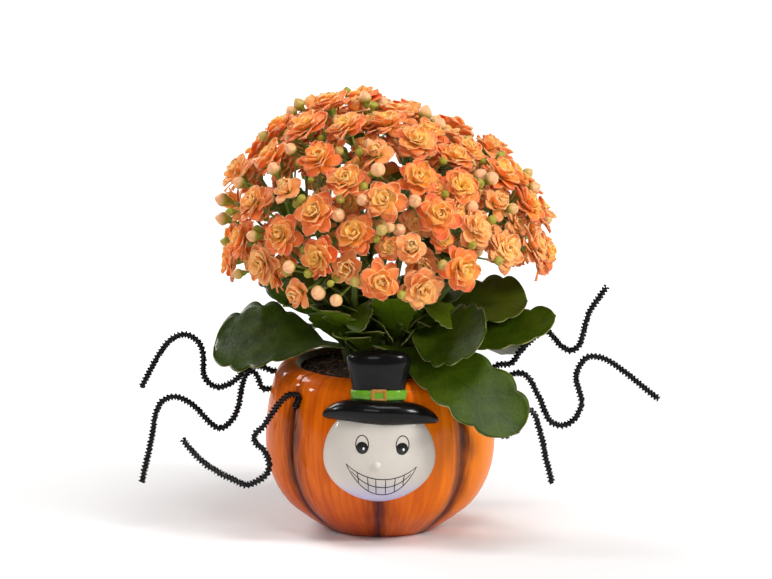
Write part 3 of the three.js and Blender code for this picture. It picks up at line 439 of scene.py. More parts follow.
# Materials
class Nodes:
    """Short words for building a material's nodes."""

    def __init__(self, name):
        self.material = bpy.data.materials.new(name)
        self.material.use_nodes = True
        self.tree = self.material.node_tree
        self.shader = self.tree.nodes["Principled BSDF"]

    def link(self, source, target):
        self.tree.links.new(source, target)

    def node(self, kind, **settings):
        made = self.tree.nodes.new(kind)
        for key, value in settings.items():
            if hasattr(made, key):
                setattr(made, key, value)
            else:
                made.inputs[key].default_value = value
        return made

    def value(self, name):
        return self.node("ShaderNodeAttribute", attribute_name=name).outputs["Fac"]

    def give(self, given, socket):
        """Sets a socket to a plain value, or links a node's output to it."""
        if isinstance(given, (tuple, float, int)):
            socket.default_value = given
        else:
            self.link(given, socket)

    def reader(self, kind, vector, **settings):
        """A node that reads a vector."""
        made = self.node(kind, **settings)
        self.link(vector, made.inputs["Vector"])
        return made

    def place(self, scale=(1, 1, 1)):
        """Coordinates in metres on the object, stretched by scale."""
        coordinates = self.node("ShaderNodeTexCoord").outputs["Object"]
        return self.reader("ShaderNodeMapping", coordinates, Scale=scale).outputs["Vector"]

    def noise(self, size, detail=3.0, stretch=(1, 1, 1)):
        """Noise with a feature size in millimetres."""
        made = self.reader("ShaderNodeTexNoise", self.place(stretch), Scale=1 / (size * MM), Detail=detail,
                           Roughness=0.55)
        return made.outputs["Fac"]

    def strokes(self, across, along, detail=3.0):
        """Noise along the pot's lobes: feature sizes across and along them in millimetres."""
        vector = self.node("ShaderNodeCombineXYZ")
        self.link(self.math("DIVIDE", self.value("around"), across), vector.inputs["X"])
        self.link(self.math("DIVIDE", self.value("down"), along), vector.inputs["Y"])
        made = self.reader("ShaderNodeTexNoise", vector.outputs["Vector"], Scale=1, Detail=detail)
        return made.outputs["Fac"]

    def cells(self, size):
        made = self.reader("ShaderNodeTexVoronoi", self.place(), Scale=1 / (size * MM))
        return made.outputs["Distance"]

    def math(self, operation, a, b=None, clamp=False):
        made = self.node("ShaderNodeMath", operation=operation, use_clamp=clamp)
        self.give(a, made.inputs[0])
        if b is not None:
            self.give(b, made.inputs[1])
        return made.outputs[0]

    def times(self, a, b, clamp=False):
        return self.math("MULTIPLY", a, b, clamp)

    def ramp(self, factor, low, high, to_low=0.0, to_high=1.0):
        """A smooth step of a factor from low to high."""
        made = self.node("ShaderNodeMapRange", interpolation_type="SMOOTHSTEP")
        self.link(factor, made.inputs["Value"])
        for name, given in (("From Min", low), ("From Max", high), ("To Min", to_low), ("To Max", to_high)):
            made.inputs[name].default_value = given
        return made.outputs["Result"]

    def blend(self, factor, a, b):
        made = self.node("ShaderNodeMix", data_type="RGBA")
        self.give(factor, made.inputs[0])
        colors = [socket for socket in made.inputs if socket.type == "RGBA"]
        for given, socket in zip((a, b), colors):
            self.give(given, socket)
        return next(socket for socket in made.outputs if socket.type == "RGBA")

    def layer(self, below, factor, strength, color):
        """A colour over another, as strong as a factor times a strength."""
        return self.blend(self.times(factor, strength), below, color)

    def bump(self, height, distance, below=None):
        made = self.node("ShaderNodeBump", Distance=distance * MM, Strength=1.0)
        self.link(height, made.inputs["Height"])
        if below is not None:
            self.link(below, made.inputs["Normal"])
        return made.outputs["Normal"]

    def finish(self, color, roughness, normal=None, **constants):
        self.give(color, self.shader.inputs["Base Color"])
        self.give(roughness, self.shader.inputs["Roughness"])
        if normal is not None:
            self.link(normal, self.shader.inputs["Normal"])
        for name, given in constants.items():
            self.shader.inputs[name.replace("_", " ")].default_value = given
        return self.material


def petal_material():
    """Petals: yellow-orange inside and at the base, coral at the outer tips, with pale thin rims."""
    n = Nodes("kalanchoe_petal")
    along, inner, tone, edge = (n.value(name) for name in ("along", "inner", "tone", "edge"))
    outer = n.math("SUBTRACT", 1.0, n.times(inner, 0.75))
    tip = n.times(n.ramp(along, 0.35, 1.0), outer)
    veins = n.noise(0.9, 2.0)
    base = n.blend(n.ramp(inner, 0.05, 0.7), srgb(254, 148, 54), srgb(255, 200, 80))
    color = n.blend(n.times(tip, 0.9), base, srgb(247, 102, 66))
    color = n.layer(color, n.ramp(tone, 0.4, 1.0), 0.5, srgb(255, 190, 124))
    color = n.layer(color, n.ramp(veins, 0.45, 0.75), 0.2, srgb(255, 200, 116))
    color = n.layer(color, n.ramp(edge, 0.88, 1.0), 0.5, srgb(255, 224, 168))
    ripple = n.noise(1.6, 2.0)
    return n.finish(color, 0.55, n.bump(ripple, 0.12), Subsurface_Weight=0.2, Subsurface_Scale=0.002,
                    Specular_IOR_Level=0.2)


def bud_material():
    """Buds: green when small, peach and faintly streaked when ready to open."""
    n = Nodes("kalanchoe_bud")
    along, tone, edge = (n.value(name) for name in ("along", "tone", "edge"))
    green = n.blend(n.noise(1.5), srgb(110, 126, 20), srgb(186, 186, 70))
    peach = n.blend(n.noise(0.8), srgb(240, 164, 110), srgb(255, 210, 160))
    ripe = n.times(n.ramp(along, 0.2, 0.75), n.ramp(tone, 0.3, 0.85), clamp=True)
    color = n.blend(ripe, green, peach)
    color = n.layer(color, edge, 0.7, srgb(205, 96, 60))
    return n.finish(color, 0.4, n.bump(n.noise(0.7), 0.06), Subsurface_Weight=0.1, Subsurface_Scale=0.0015,
                    Specular_IOR_Level=0.3)


def stalk_material():
    n = Nodes("kalanchoe_stalk")
    along = n.value("along")
    color = n.blend(n.noise(3.0), srgb(62, 82, 20), srgb(104, 124, 40))
    color = n.blend(along, color, srgb(150, 165, 62))
    return n.finish(color, 0.45, n.bump(n.noise(0.6), 0.08))


def leaf_material():
    """Leaves: glossy dark green with painted sparkle flecks, faint side veins and a pale broken line painted
    along the edge as rim light.
    """
    n = Nodes("kalanchoe_leaf")
    along, edge, tone = (n.value(name) for name in ("along", "edge", "tone"))
    cloud = n.noise(9.0, 4.0)
    painted_sparkle = n.noise(0.5, 2.0)
    color = n.blend(n.ramp(cloud, 0.3, 0.7), srgb(27, 44, 2), srgb(52, 70, 6))
    color = n.layer(color, tone, 0.7, srgb(92, 118, 12))
    # Painted highlight: fine pale flecks standing in for the glossy leaf's sparkle
    color = n.layer(color, n.ramp(painted_sparkle, 0.45, 0.7), 0.3, srgb(86, 106, 24))
    slant = n.math("SUBTRACT", n.times(along, 9.0), n.times(edge, 1.6))
    vein = n.math("ABSOLUTE", n.math("SUBTRACT", n.math("FRACT", slant), 0.5))
    vein_line = n.times(n.ramp(vein, 0.06, 0.0), n.ramp(edge, 0.95, 0.6))
    color = n.layer(color, vein_line, 0.1, srgb(120, 144, 50))
    midrib = n.ramp(edge, 0.045, 0.0)
    color = n.layer(color, midrib, 0.35, srgb(24, 42, 8))
    # Painted highlight: a pale broken line along the leaf's edge, standing in for rim light
    painted_rim_light = n.times(n.ramp(edge, 0.98, 1.0), n.ramp(n.noise(7.0), 0.4, 0.65, 0.15, 0.7))
    color = n.blend(painted_rim_light, color, srgb(186, 178, 120))
    rough = n.ramp(n.noise(0.35, 1.0), 0.3, 0.7, 0.26, 0.38)
    normal = n.bump(n.cells(0.45), 0.05, below=n.bump(cloud, 0.5))
    return n.finish(color, rough, normal, Specular_IOR_Level=0.16)


def stem_material():
    n = Nodes("kalanchoe_stem")
    color = n.blend(n.noise(4.0, stretch=(1, 1, 0.3)), srgb(44, 58, 14), srgb(92, 108, 34))
    return n.finish(color, 0.5, n.bump(n.noise(0.8, stretch=(1, 1, 0.3)), 0.15))


def glaze_material():
    """Pumpkin glaze: brushed orange with brown in the grooves, under a thick clear coat; painted light
    brightens the right side, and painted shade darkens the bottom, most on the left.
    """
    n = Nodes("pumpkin_glaze")
    groove, height, right = (n.value(name) for name in ("groove", "height", "right"))
    brushed = n.strokes(2.2, 30.0, 4.0)
    broad = n.strokes(9.0, 38.0)
    patches = n.strokes(14.0, 20.0, 2.0)
    color = n.blend(n.ramp(brushed, 0.3, 0.72), srgb(230, 110, 2), srgb(206, 88, 0))
    color = n.layer(color, n.ramp(broad, 0.4, 0.68), 0.6, srgb(180, 66, 0))
    # Painted light: the right side turns a brighter orange, as if lit from the right
    color = n.layer(color, n.ramp(right, 0.6, 0.95), 0.75, srgb(255, 138, 2))
    # Painted shade: darker red-brown towards the bottom, most on the left
    low = n.times(n.ramp(height, 34.0, 6.0), n.ramp(right, 0.75, 0.3))
    color = n.layer(color, low, 0.55, srgb(146, 40, 20))
    wander = n.math("ADD", groove, n.times(n.math("SUBTRACT", brushed, 0.5), 0.7))
    wander = n.math("ADD", wander, n.times(n.math("SUBTRACT", patches, 0.5), 0.7))
    wander = n.math("SUBTRACT", wander, n.ramp(height, 66.0, 80.0, 0.0, 0.4))
    shade = n.ramp(wander, 0.22, 0.8)
    color = n.layer(color, shade, 0.75, srgb(112, 38, 2))
    dark = n.blend(n.ramp(height, 42.0, 10.0), srgb(44, 18, 6), srgb(58, 18, 34))
    color = n.layer(color, n.ramp(wander, 0.6, 1.08), 0.9, dark)
    normal = n.bump(broad, 0.5, below=n.bump(brushed, 0.06))
    return n.finish(color, 0.4, normal, Specular_IOR_Level=0.03, Coat_Weight=0.34, Coat_Roughness=0.03,
                    Coat_IOR=1.5)


def white_glaze_material():
    n = Nodes("white_glaze")
    height = n.value("height")
    color = n.blend(n.noise(12.0), srgb(204, 195, 184), srgb(214, 206, 196))
    # Painted shade: cool lavender towards the chin, where the face turns downwards
    color = n.blend(n.ramp(height, 38.0, 24.0), color, srgb(182, 180, 214))
    return n.finish(color, 0.4, n.bump(n.noise(5.0), 0.15), Specular_IOR_Level=0.2, Coat_Weight=0.5,
                    Coat_Roughness=0.06)


def black_glaze_material():
    n = Nodes("black_glaze")
    color = n.blend(n.ramp(n.noise(0.6, 2.0), 0.6, 0.8), srgb(11, 10, 10), srgb(30, 28, 28))
    return n.finish(color, 0.3, n.bump(n.noise(4.0), 0.3), Specular_IOR_Level=0.1, Coat_Weight=0.26,
                    Coat_Roughness=0.05)


def paint_material(name, dark, light, size=1.2):
    n = Nodes(name)
    color = n.blend(n.noise(size, stretch=(1, 1, 0.6)), dark, light)
    return n.finish(color, 0.35, n.bump(n.noise(2.5), 0.1), Specular_IOR_Level=0.2, Coat_Weight=0.6,
                    Coat_Roughness=0.08)


def chenille_material():
    n = Nodes("black_chenille")
    along = n.value("along")
    color = n.blend(along, srgb(3, 2, 4), srgb(10, 9, 11))
    color = n.layer(color, n.noise(0.8), 0.2, srgb(26, 24, 26))
    return n.finish(color, 0.9, n.bump(n.noise(0.4), 0.1), Specular_IOR_Level=0.1, Sheen_Weight=0.02,
                    Sheen_Roughness=0.5)


def wire_material():
    n = Nodes("leg_wire")
    color = n.blend(n.noise(0.6), srgb(20, 20, 22), srgb(60, 60, 62))
    return n.finish(color, 0.4, n.bump(n.noise(0.4), 0.03), Metallic=0.8)


def peat_material():
    n = Nodes("peat")
    grains = n.cells(1.4)
    color = n.blend(n.noise(1.1, 5.0), srgb(14, 8, 5), srgb(66, 40, 22))
    color = n.blend(n.ramp(n.noise(2.4, 3.0), 0.6, 0.75), color, srgb(104, 70, 40))
    normal = n.bump(grains, 0.8, below=n.bump(n.noise(0.6, 4.0), 0.5))
    return n.finish(color, 0.95, normal)


def fibre_material():
    n = Nodes("peat_fibre")
    color = n.blend(n.value("tone"), srgb(70, 40, 18), srgb(176, 130, 84))
    color = n.layer(color, n.noise(0.8), 0.5, srgb(48, 28, 14))
    return n.finish(color, 0.85, n.bump(n.noise(0.3), 0.05))


# Pot
def profile_line(profile, steps):
    flat = smooth_line([(r, 0, z) for r, z in profile], steps)
    return flat[:, 0], flat[:, 2]


def groove_depth(height, share):
    low = smoothstep(height, 0, GROOVE_FULL)
    high = 1 - GROOVE_FADE[2] * smoothstep(height, GROOVE_FADE[0], GROOVE_FADE[1])
    return GROOVE_DEPTH * low * high * np.abs(2 * share - 1) ** GROOVE_SHARPNESS


def around_pot(radius, angle, height):
    angle = np.radians(angle)
    return np.stack(np.broadcast_arrays(radius * np.sin(angle), -radius * np.cos(angle), height), -1)


def lobe_angles():
    """Angles round the pot, and each one's share of its lobe."""
    angles, shares = [], []
    for i, start in enumerate(GROOVES):
        end = GROOVES[i + 1] if i + 1 < len(GROOVES) else GROOVES[0] + 360
        for k in range(STEPS_PER_LOBE):
            # Steps crowd towards the grooves
            share = 0.5 - 0.5 * math.cos(math.pi * k / STEPS_PER_LOBE)
            angles.append(start + (end - start) * share)
            shares.append(share)
    return np.array(angles), np.array(shares)


def pot_shell(glaze, inside):
    angles, shares = lobe_angles()
    skin = Skin("groove", "height", "right", "around", "down")
    radius, height = profile_line(POT_OUTSIDE, POT_STEPS["outside"])
    height = np.maximum(height, 0)
    depth = groove_depth(height[:, None], shares[None, :])
    wall = around_pot(radius[:, None] - depth, angles[None, :], height[:, None])
    deepest = np.abs(2 * shares - 1)[None, :] ** 2.2 * np.ones((len(height), 1))
    tall = np.broadcast_to(height[:, None], deepest.shape)
    # How far right each point lies, for the glaze's painted light on the right side and painted shade low on
    # the left
    right = 0.5 + wall[..., 0] / POT_WIDTH
    around = np.broadcast_to(np.radians(angles) * POT_GIRTH_RADIUS, deepest.shape)
    travelled = np.concatenate([[0], np.cumsum(np.hypot(np.diff(radius), np.diff(height)))])
    down = np.broadcast_to(travelled[:, None], deepest.shape)
    skin.grid(wall, closed=True, groove=deepest, height=tall, right=right, around=around, down=down)
    inner_radius, inner_height = profile_line([POT_OUTSIDE[-1]] + POT_INSIDE, POT_STEPS["inside"])
    lip = around_pot(inner_radius[:, None], angles[None, :], inner_height[:, None])
    lip[0] = wall[-1]
    skin.grid(lip, closed=True, slot=1)
    foot_radius, foot_height = np.array(POT_FOOT).T
    foot = around_pot(foot_radius[:, None], angles[None, :], foot_height[:, None])
    foot[-1] = wall[0]
    skin.grid(foot, closed=True, slot=1)
    return dress(skin.piece("pumpkin_pot", [glaze, inside]), "glaze", "pot")


def ellipsoid(skin, centre, radii, around, down, slot=0, upper=None, **values):
    fall = pole_to_pole(down)
    ball = lathed(np.sin(fall), np.cos(fall), around) * radii
    if upper:
        ball[..., 2] *= np.where(ball[..., 2] > 0, upper / radii[2], 1)
    corners = centre + ball
    painted = {name: value(corners) if callable(value) else value for name, value in values.items()}
    skin.grid(corners, closed=True, slot=slot, flip=True, **painted)


def face_height_radius(above):
    """The face is taller above its middle than below it, so that it stays wide up to the brim."""
    return np.where(above > 0, FACE_UPPER_RADIUS, FACE_RADII[2])


def face_relief(white):
    skin = Skin("height")
    # Each point's height sets the painted shade towards the chin; the nose is given a height above it
    ellipsoid(skin, FACE_CENTRE, FACE_RADII, 96, 48, upper=FACE_UPPER_RADIUS, height=lambda c: c[..., 2])
    ellipsoid(skin, NOSE_CENTRE + [0, 0.4, 0], NOSE_RADII, 24, 16, height=60.0)
    return dress(skin.piece("pot_face", [white]), "glaze", "pot")


def face_surface(x, z):
    """A point just proud of the face, above x and z."""
    x, z = np.asarray(x, dtype=float), np.asarray(z, dtype=float)
    above = z - FACE_CENTRE[2]
    share = 1 - ((x - FACE_CENTRE[0]) / FACE_RADII[0]) ** 2 - (above / face_height_radius(above)) ** 2
    y = FACE_CENTRE[1] - FACE_RADII[1] * np.sqrt(np.maximum(share, 0.02)) - PAINT_LIFT
    return np.stack(np.broadcast_arrays(x, y, z), -1)


def painted_line(skin, x, z, width, closed=False):
    """A brushed line on the face, thinner towards open ends."""
    x, z = np.asarray(x, dtype=float), np.asarray(z, dtype=float)
    size = len(x)
    if closed:
        dx, dz = np.roll(x, -1) - np.roll(x, 1), np.roll(z, -1) - np.roll(z, 1)
        half = np.full(size, width / 2)
    else:
        dx, dz = np.gradient(x), np.gradient(z)
        share = np.linspace(0, 1, size)
        half = width / 2 * (0.55 + 0.45 * np.sin(np.pi * share) ** 0.5)
    length = np.hypot(dx, dz)
    nx, nz = -dz / length, dx / length
    rows = [face_surface(x + nx * half * k, z + nz * half * k) for k in (-1, 0, 1)]
    rows[1][:, 1] -= PAINT_LIFT
    skin.grid(np.stack(rows), closed=closed)


def painted_disc(skin, x, z, half, lift, slot=0):
    turn = full_turn(DISC_STEPS)
    corners = face_surface(x + half[0] * np.outer(DISC_SHARES, np.cos(turn)),
                           z + half[1] * np.outer(DISC_SHARES, np.sin(turn)))
    corners[..., 1] -= lift * (1 - DISC_SHARES[:, None] ** 4)
    skin.grid(corners, closed=True, slot=slot)


def grin_curve(sag, t):
    """The grin's sideways place and height at a share t of its reach from its middle."""
    sideways = GRIN["reach"] * t
    height = GRIN["corner"] + GRIN["tilt"] * sideways - sag * (1 - np.abs(t) ** 2.1) ** 0.93
    return GRIN["middle"] + sideways, height


def face_paint(black, white):
    """A plain grinning face: two oval eyes with round pupils, and a wide grin full of teeth."""
    skin = Skin()
    turn = full_turn(EYE["steps"])
    for (x, z), (pupil_x, pupil_z) in EYES:
        painted_line(skin, x + EYE["half"][0] * np.cos(turn), z + EYE["half"][1] * np.sin(turn), EYE["line"],
                     closed=True)
        painted_disc(skin, pupil_x, pupil_z, PUPIL["half"], PUPIL["lift"])
        painted_disc(skin, pupil_x + GLINT["offset"][0], pupil_z + GLINT["offset"][1], GLINT["half"],
                     GLINT["lift"], slot=1)
    for name, half in GRIN_HALVES.items():
        t = np.linspace(-half, half, GRIN["steps"])
        painted_line(skin, *grin_curve(GRIN_SAGS[name], t), GRIN["line"])
    for x in TOOTH_GAPS:
        t = (x - GRIN["middle"]) / GRIN["reach"]
        low_t = t * TOOTH["narrowing"]
        _, top = grin_curve(GRIN_SAGS["upper"], t)
        _, bottom = grin_curve(GRIN_SAGS["lower"], low_t)
        share = np.linspace(0, 1, TOOTH["steps"])
        xs = GRIN["middle"] + GRIN["reach"] * (t + (low_t - t) * share)
        xs -= TOOTH["bow"] * t * np.sin(np.pi * share)
        painted_line(skin, xs, top + (bottom - top) * share, TOOTH["line"])
    return dress(skin.piece("pot_face_paint", [black, white]), "glaze", "pot")


def hat_brim(black):
    skin = Skin()
    fall = pole_to_pole(BRIM_STEPS["down"])
    x, z, y = np.moveaxis(lathed(np.sin(fall), np.cos(fall), BRIM_STEPS["around"]), -1, 0)
    across = BRIM["half_width"] * x
    wall = np.sqrt(BRIM["wall"] ** 2 - across ** 2) - BRIM["sunk"]
    lift = y * np.where(y > 0, BRIM["up"], BRIM["down"])
    height = BRIM["height"] - BRIM["tilt"] * across - BRIM["droop"] * x ** 4 + lift
    skin.grid(np.stack([across, -wall - BRIM["depth"] * z, height], -1), closed=True)
    return dress(skin.piece("pot_hat_brim", [black]), "glaze", "pot")


def on_crown(corners):
    """Moves a shape made upright at the origin onto the leaning, flattened crown."""
    lean = math.radians(-CROWN_LEAN)
    x, y, z = corners[..., 0], corners[..., 1], corners[..., 2]
    turned_y = y * math.cos(lean) - z * math.sin(lean)
    turned_z = y * math.sin(lean) + z * math.cos(lean)
    return np.stack([x, turned_y, turned_z], -1) + CROWN_FOOT


def crown_lathe(skin, radius, height):
    skin.grid(on_crown(lathed(radius, height, CROWN_STEPS["around"], CROWN_FLATNESS)), closed=True)


def hat_crown(black):
    skin = Skin()
    radius, height = profile_line(CROWN_PROFILE[1:], CROWN_STEPS["up"])
    crown_lathe(skin, np.maximum(radius, LEAST_RADIUS), height)
    return dress(skin.piece("pot_hat_crown", [black]), "glaze", "pot")


def hat_band(green, gold):
    band, buckle = Skin(), Skin()
    low, high, radius = BAND["low"], BAND["high"], BAND["radius"]
    lower_edge = [(radius + out, low + up) for out, up in BAND_ROUNDING]
    upper_edge = [(radius + out, high - up) for out, up in reversed(BAND_ROUNDING)]
    middle = [(radius + 0.05, (low + high) / 2)]
    crown_lathe(band, *np.array(lower_edge + middle + upper_edge).T)
    dress(band.piece("pot_hat_band", [green]), "glaze", "pot")
    turn = full_turn(BUCKLE["steps"])
    c, s = (np.sign(wave) * np.abs(wave) ** BUCKLE["corner"] for wave in (np.cos(turn), np.sin(turn)))
    rows = []
    for inset, rise in BUCKLE_BAR:
        x = (BUCKLE["width"] / 2 - inset) * c
        z = (BUCKLE["height"] / 2 - inset) * s + BUCKLE["centre_height"]
        rows.append(np.stack([x, np.full(len(turn), 0.5 - rise - BUCKLE["forward"]), z], -1))
    buckle.grid(on_crown(np.stack(rows)), closed=True, flip=True)
    dress(buckle.piece("pot_hat_buckle", [gold]), "glaze", "pot")


# Soil
def soil_place(reach_limit, surface, rng):
    """A random place on the soil's top."""
    reach = reach_limit * math.sqrt(rng.random())
    angle = 2 * np.pi * rng.random()
    radius, height = surface
    level = np.interp(reach, radius[::-1], height[::-1])
    return np.array([reach * math.cos(angle), reach * math.sin(angle), level])


def soil_bed(peat, fibre):
    rng = np.random.default_rng(SOIL_SEED)
    skin = Skin("tone")
    radius, height = profile_line(SOIL_TOP, SOIL_STEPS["across"])
    radius = np.maximum(radius, LEAST_RADIUS)
    corners = lathed(radius, height, SOIL_STEPS["around"])
    lumps = rng.normal(0, 1, corners.shape[:2])
    smooth_lumps = sum(np.roll(np.roll(lumps, i, 0), j, 1) for i in (-1, 0, 1) for j in (-1, 0, 1)) / 9
    corners[..., 2] += SOIL_LUMPS * smooth_lumps * smoothstep(radius, 0, 6)[:, None]
    corners[:4, :, 2] -= 0.6
    skin.grid(corners, closed=True)
    for _ in range(CRUMBS["count"]):
        centre = soil_place(CRUMBS["reach"], (radius, height), rng)
        size = 0.5 + 1.1 * rng.random() ** 2
        centre[2] += 0.2 * size
        # A draw that keeps the later ones in step
        rng.normal(0, 1, (8, 3))
        add_crumb(skin, centre, size, rng)
    dress(skin.piece("peat_soil", [peat]), "soil", "soil")
    strands = Skin("tone")
    for _ in range(FIBRES["count"]):
        start = soil_place(FIBRES["reach"], (radius, height), rng) + [0, 0, 0.5]
        way = unit(rng.normal(0, 1, 3) * [1, 1, 0.28]) * (2 + 5 * rng.random())
        bend = rng.normal(0, 0.9, 3) * [1, 1, 0.5]
        end = start + way
        end[:2] *= min(1, FIBRES["reach"] / math.hypot(end[0], end[1]))
        line = smooth_line([start, (start + end) / 2 + bend + [0, 0, 0.5], end], len(FIBRE_RADII) - 1)
        strands.tube(line, FIBRE_RADII * (0.7 + 0.8 * rng.random()), 4, tone=rng.random())
    dress(strands.piece("peat_fibres", [fibre]), "soil", "soil")


def add_crumb(skin, centre, size, rng):
    """A rough angular lump: a cube's corners pushed about."""
    signs = np.array([(x, y, z) for z in (-1, 1) for y in (-1, 1) for x in (-1, 1)], dtype=float)
    corners = centre + size * 0.5 * signs * (0.6 + 0.7 * rng.random((8, 3)))
    quads = [(0, 2, 3, 1), (4, 5, 7, 6), (0, 1, 5, 4), (2, 6, 7, 3), (0, 4, 6, 2), (1, 3, 7, 5)]
    skin.add(corners, [quads], tone=rng.random())


# Legs
def leg_line(hole, exit_azimuth, plane_azimuth, route, steps_per_point):
    angle, height = hole
    profile_r = np.array([r for r, _ in POT_OUTSIDE])
    profile_z = np.array([z for _, z in POT_OUTSIDE])
    in_groove = any(abs(groove - angle) < 0.1 for groove in GROOVES)
    cut = float(groove_depth(height, 0)) if in_groove else 0.0
    place = around_pot(float(np.interp(height, profile_z, profile_r)) - cut, angle, height)
    way = heading(exit_azimuth)
    stub = place + LEG_STUB * way
    inner = place - LEG_ROOT * way
    plane = heading(plane_azimuth)
    free = []
    for out, up in route:
        free.append(np.array([stub[0], stub[1], 0]) + plane * (out - LEG_STUB) + [0, 0, up])
    controls = [inner, place, stub] + free
    return smooth_line(controls, steps_per_point * len(controls))


def line_at(line, travelled, at):
    return np.stack([np.interp(at, travelled, line[:, k]) for k in range(3)], 1)


def chenille_leg(leg, chenille, wire):
    """A wire core with short fibres set round it in a twist."""
    name, hole, *course = leg
    line = leg_line(hole, *course, 10)
    rng = np.random.default_rng(len(name) + int(hole[0]) + 400)
    skin = Skin("along")
    skin.tube(line[::3], LEG_CORE, 8, slot=1)
    steps = np.linalg.norm(np.diff(line, axis=0), axis=1)
    travelled = np.concatenate([[0], np.cumsum(steps)])
    count = int(travelled[-1] * TUFTS_PER_MM)
    at = (np.arange(count) + 0.5) / count * travelled[-1]
    places = line_at(line, travelled, at)
    tangent = line_at(line, travelled, at + 0.3) - line_at(line, travelled, at - 0.3)
    tangent /= np.linalg.norm(tangent, axis=1, keepdims=True)
    across = np.cross(tangent, [0.0, 0.12, 0.99])
    across /= np.linalg.norm(across, axis=1, keepdims=True)
    along = np.cross(tangent, across)
    # Two rows of fibres twisted round the wire, each fanned out round its row
    row = rng.integers(0, 2, count) * np.pi
    turn = 2 * np.pi * at / LEG_TWIST + row + rng.normal(0, 0.24, count)
    out = across * np.cos(turn)[:, None] + along * np.sin(turn)[:, None]
    out += tangent * rng.normal(0, 0.07, (count, 1))
    length = LEG_FUZZ[0] + (LEG_FUZZ[1] - LEG_FUZZ[0]) * rng.random(count)
    tip = places + out * length[:, None]
    side = np.cross(out, tangent)
    width = (0.36 + 0.16 * rng.random(count))[:, None]
    base = places + out * (LEG_CORE * 0.5)
    ring = [base + (side * math.cos(spoke) + tangent * math.sin(spoke)) * width for spoke in full_turn(3)]
    corners = np.stack(ring + [tip], 1).reshape(-1, 3)
    start = np.arange(count)[:, None] * 4
    sides = np.concatenate([start + np.array([k, (k + 1) % 3, 3])[None] for k in range(3)])
    floor = start + np.array([2, 1, 0])[None]
    skin.add(corners, [sides, floor], 0, along=np.tile([0, 0, 0, 1.0], count))
    return dress(skin.piece(f"{name}_chenille", [chenille, wire], smooth=False), "chenille", name)


# Stems and leaves
def shoot_joint(azimuth, kind):
    return heading(azimuth) * kind["reach"] + [0, 0, kind["height"]]


def joint_axis(azimuth, kind):
    return heading(azimuth, kind["steepness"])


def stem_line(azimuth, kind, steps=4):
    out = heading(azimuth)
    foot = out * kind["foot"] + [0, 0, STEM_FOOT_HEIGHT]
    leaving = foot + out * STEM_EXIT[1]
    leaving[2] = STEM_EXIT[0]
    end = shoot_joint(azimuth, kind) - joint_axis(azimuth, kind) * GAP / 2
    below = end - joint_axis(azimuth, kind) * STEM_STRAIGHT
    return np.concatenate([[foot], smooth_line([leaving, below, end], steps)])


def stem_place(azimuth, kind, height):
    line = stem_line(azimuth, kind)
    return np.array([np.interp(height, line[:, 2], line[:, k]) for k in range(3)])


def leaf_outline(share, half):
    blade = np.clip((share - PETIOLE["share"]) / (1 - PETIOLE["share"]), 0, 1)
    root, tip = LEAF_OVAL
    widest = root / (root + tip)
    oval = (blade / widest) ** root * ((1 - blade) / (1 - widest)) ** tip
    lobed = LEAF_SCALLOP["depth"] * smoothstep(blade, LEAF_SCALLOP["from"], LEAF_SCALLOP["full"])
    wave = 2 * np.abs(np.sin(np.pi * share * LEAF_STEPS / 2)) ** 0.7 - 1
    return half * np.maximum(PETIOLE["half"] * (1 - PETIOLE["taper"] * blade), oval * (1 + lobed * wave))


def leaf_blade(skin, root, leaf, rng, rows=66, columns=15, tone=0.0, slot=0):
    _, azimuth, rise, droop, length, half, roll = leaf
    shares = np.linspace(0, 1, rows)
    angles = rise - droop * shares
    alongs = np.array([heading(azimuth, angle) for angle in angles])
    steps = (alongs[1:] + alongs[:-1]) / 2 * (length / (rows - 1))
    spine = root + np.concatenate([[np.zeros(3)], np.cumsum(steps, axis=0)])
    flat_side = np.array([-math.sin(math.radians(azimuth)), math.cos(math.radians(azimuth)), 0])
    rolls = np.radians(roll) * smoothstep(shares, 0, LEAF_ROLLED_BY)
    sides = np.array([turned(flat_side, along, angle) for along, angle in zip(alongs, rolls)])
    ups = np.cross(alongs, sides)
    width = leaf_outline(shares, half)
    width[-1] = 0.4
    u = np.linspace(-1, 1, columns)
    u = np.sign(u) * np.abs(u) ** 0.85
    phase = 6.28 * rng.random(2)[0]
    waves = np.sin(14 * shares[:, None] + np.sign(u) + phase)
    ripple = 0.035 * half * np.abs(u) ** 3 * waves
    blade = smoothstep(shares, PETIOLE["share"], 0.4)[:, None]
    groove = 0.55 * np.exp(-(u / 0.07) ** 2) * blade * (1 - shares[:, None])
    lift = LEAF_CUP * width[:, None] * u ** 2 + ripple * blade - groove
    out = width[:, None] * u
    points = spine[:, None] + sides[:, None] * out[..., None] + ups[:, None] * lift[..., None]
    thickness = 2.0 - 0.9 * shares
    skin.shell(points, thickness, slot, rim=0.4, along=np.repeat(shares, columns),
               edge=np.tile(np.abs(u), rows), tone=tone)


def middle_leaves(azimuth, kind, rng):
    """Small upright leaves that close the plant's middle."""
    outer = kind is OUTER
    leaves = []
    for i in range(MIDDLE_LEAVES["outer" if outer else "inner"]):
        height = (87 + 3.2 * i if outer else 90 + 4 * i) + rng.normal(0, 1.5)
        spread = 190 if outer else 330
        turn = azimuth + spread * ((i * 0.618) % 1 - 0.5) + rng.normal(0, 12)
        length = 21 + 10 * rng.random()
        leaves.append((height, turn, 74 - 22 * rng.random(), 12 + 28 * rng.random(), length,
                       (0.26 + 0.1 * rng.random()) * length, rng.normal(0, 16)))
    return leaves


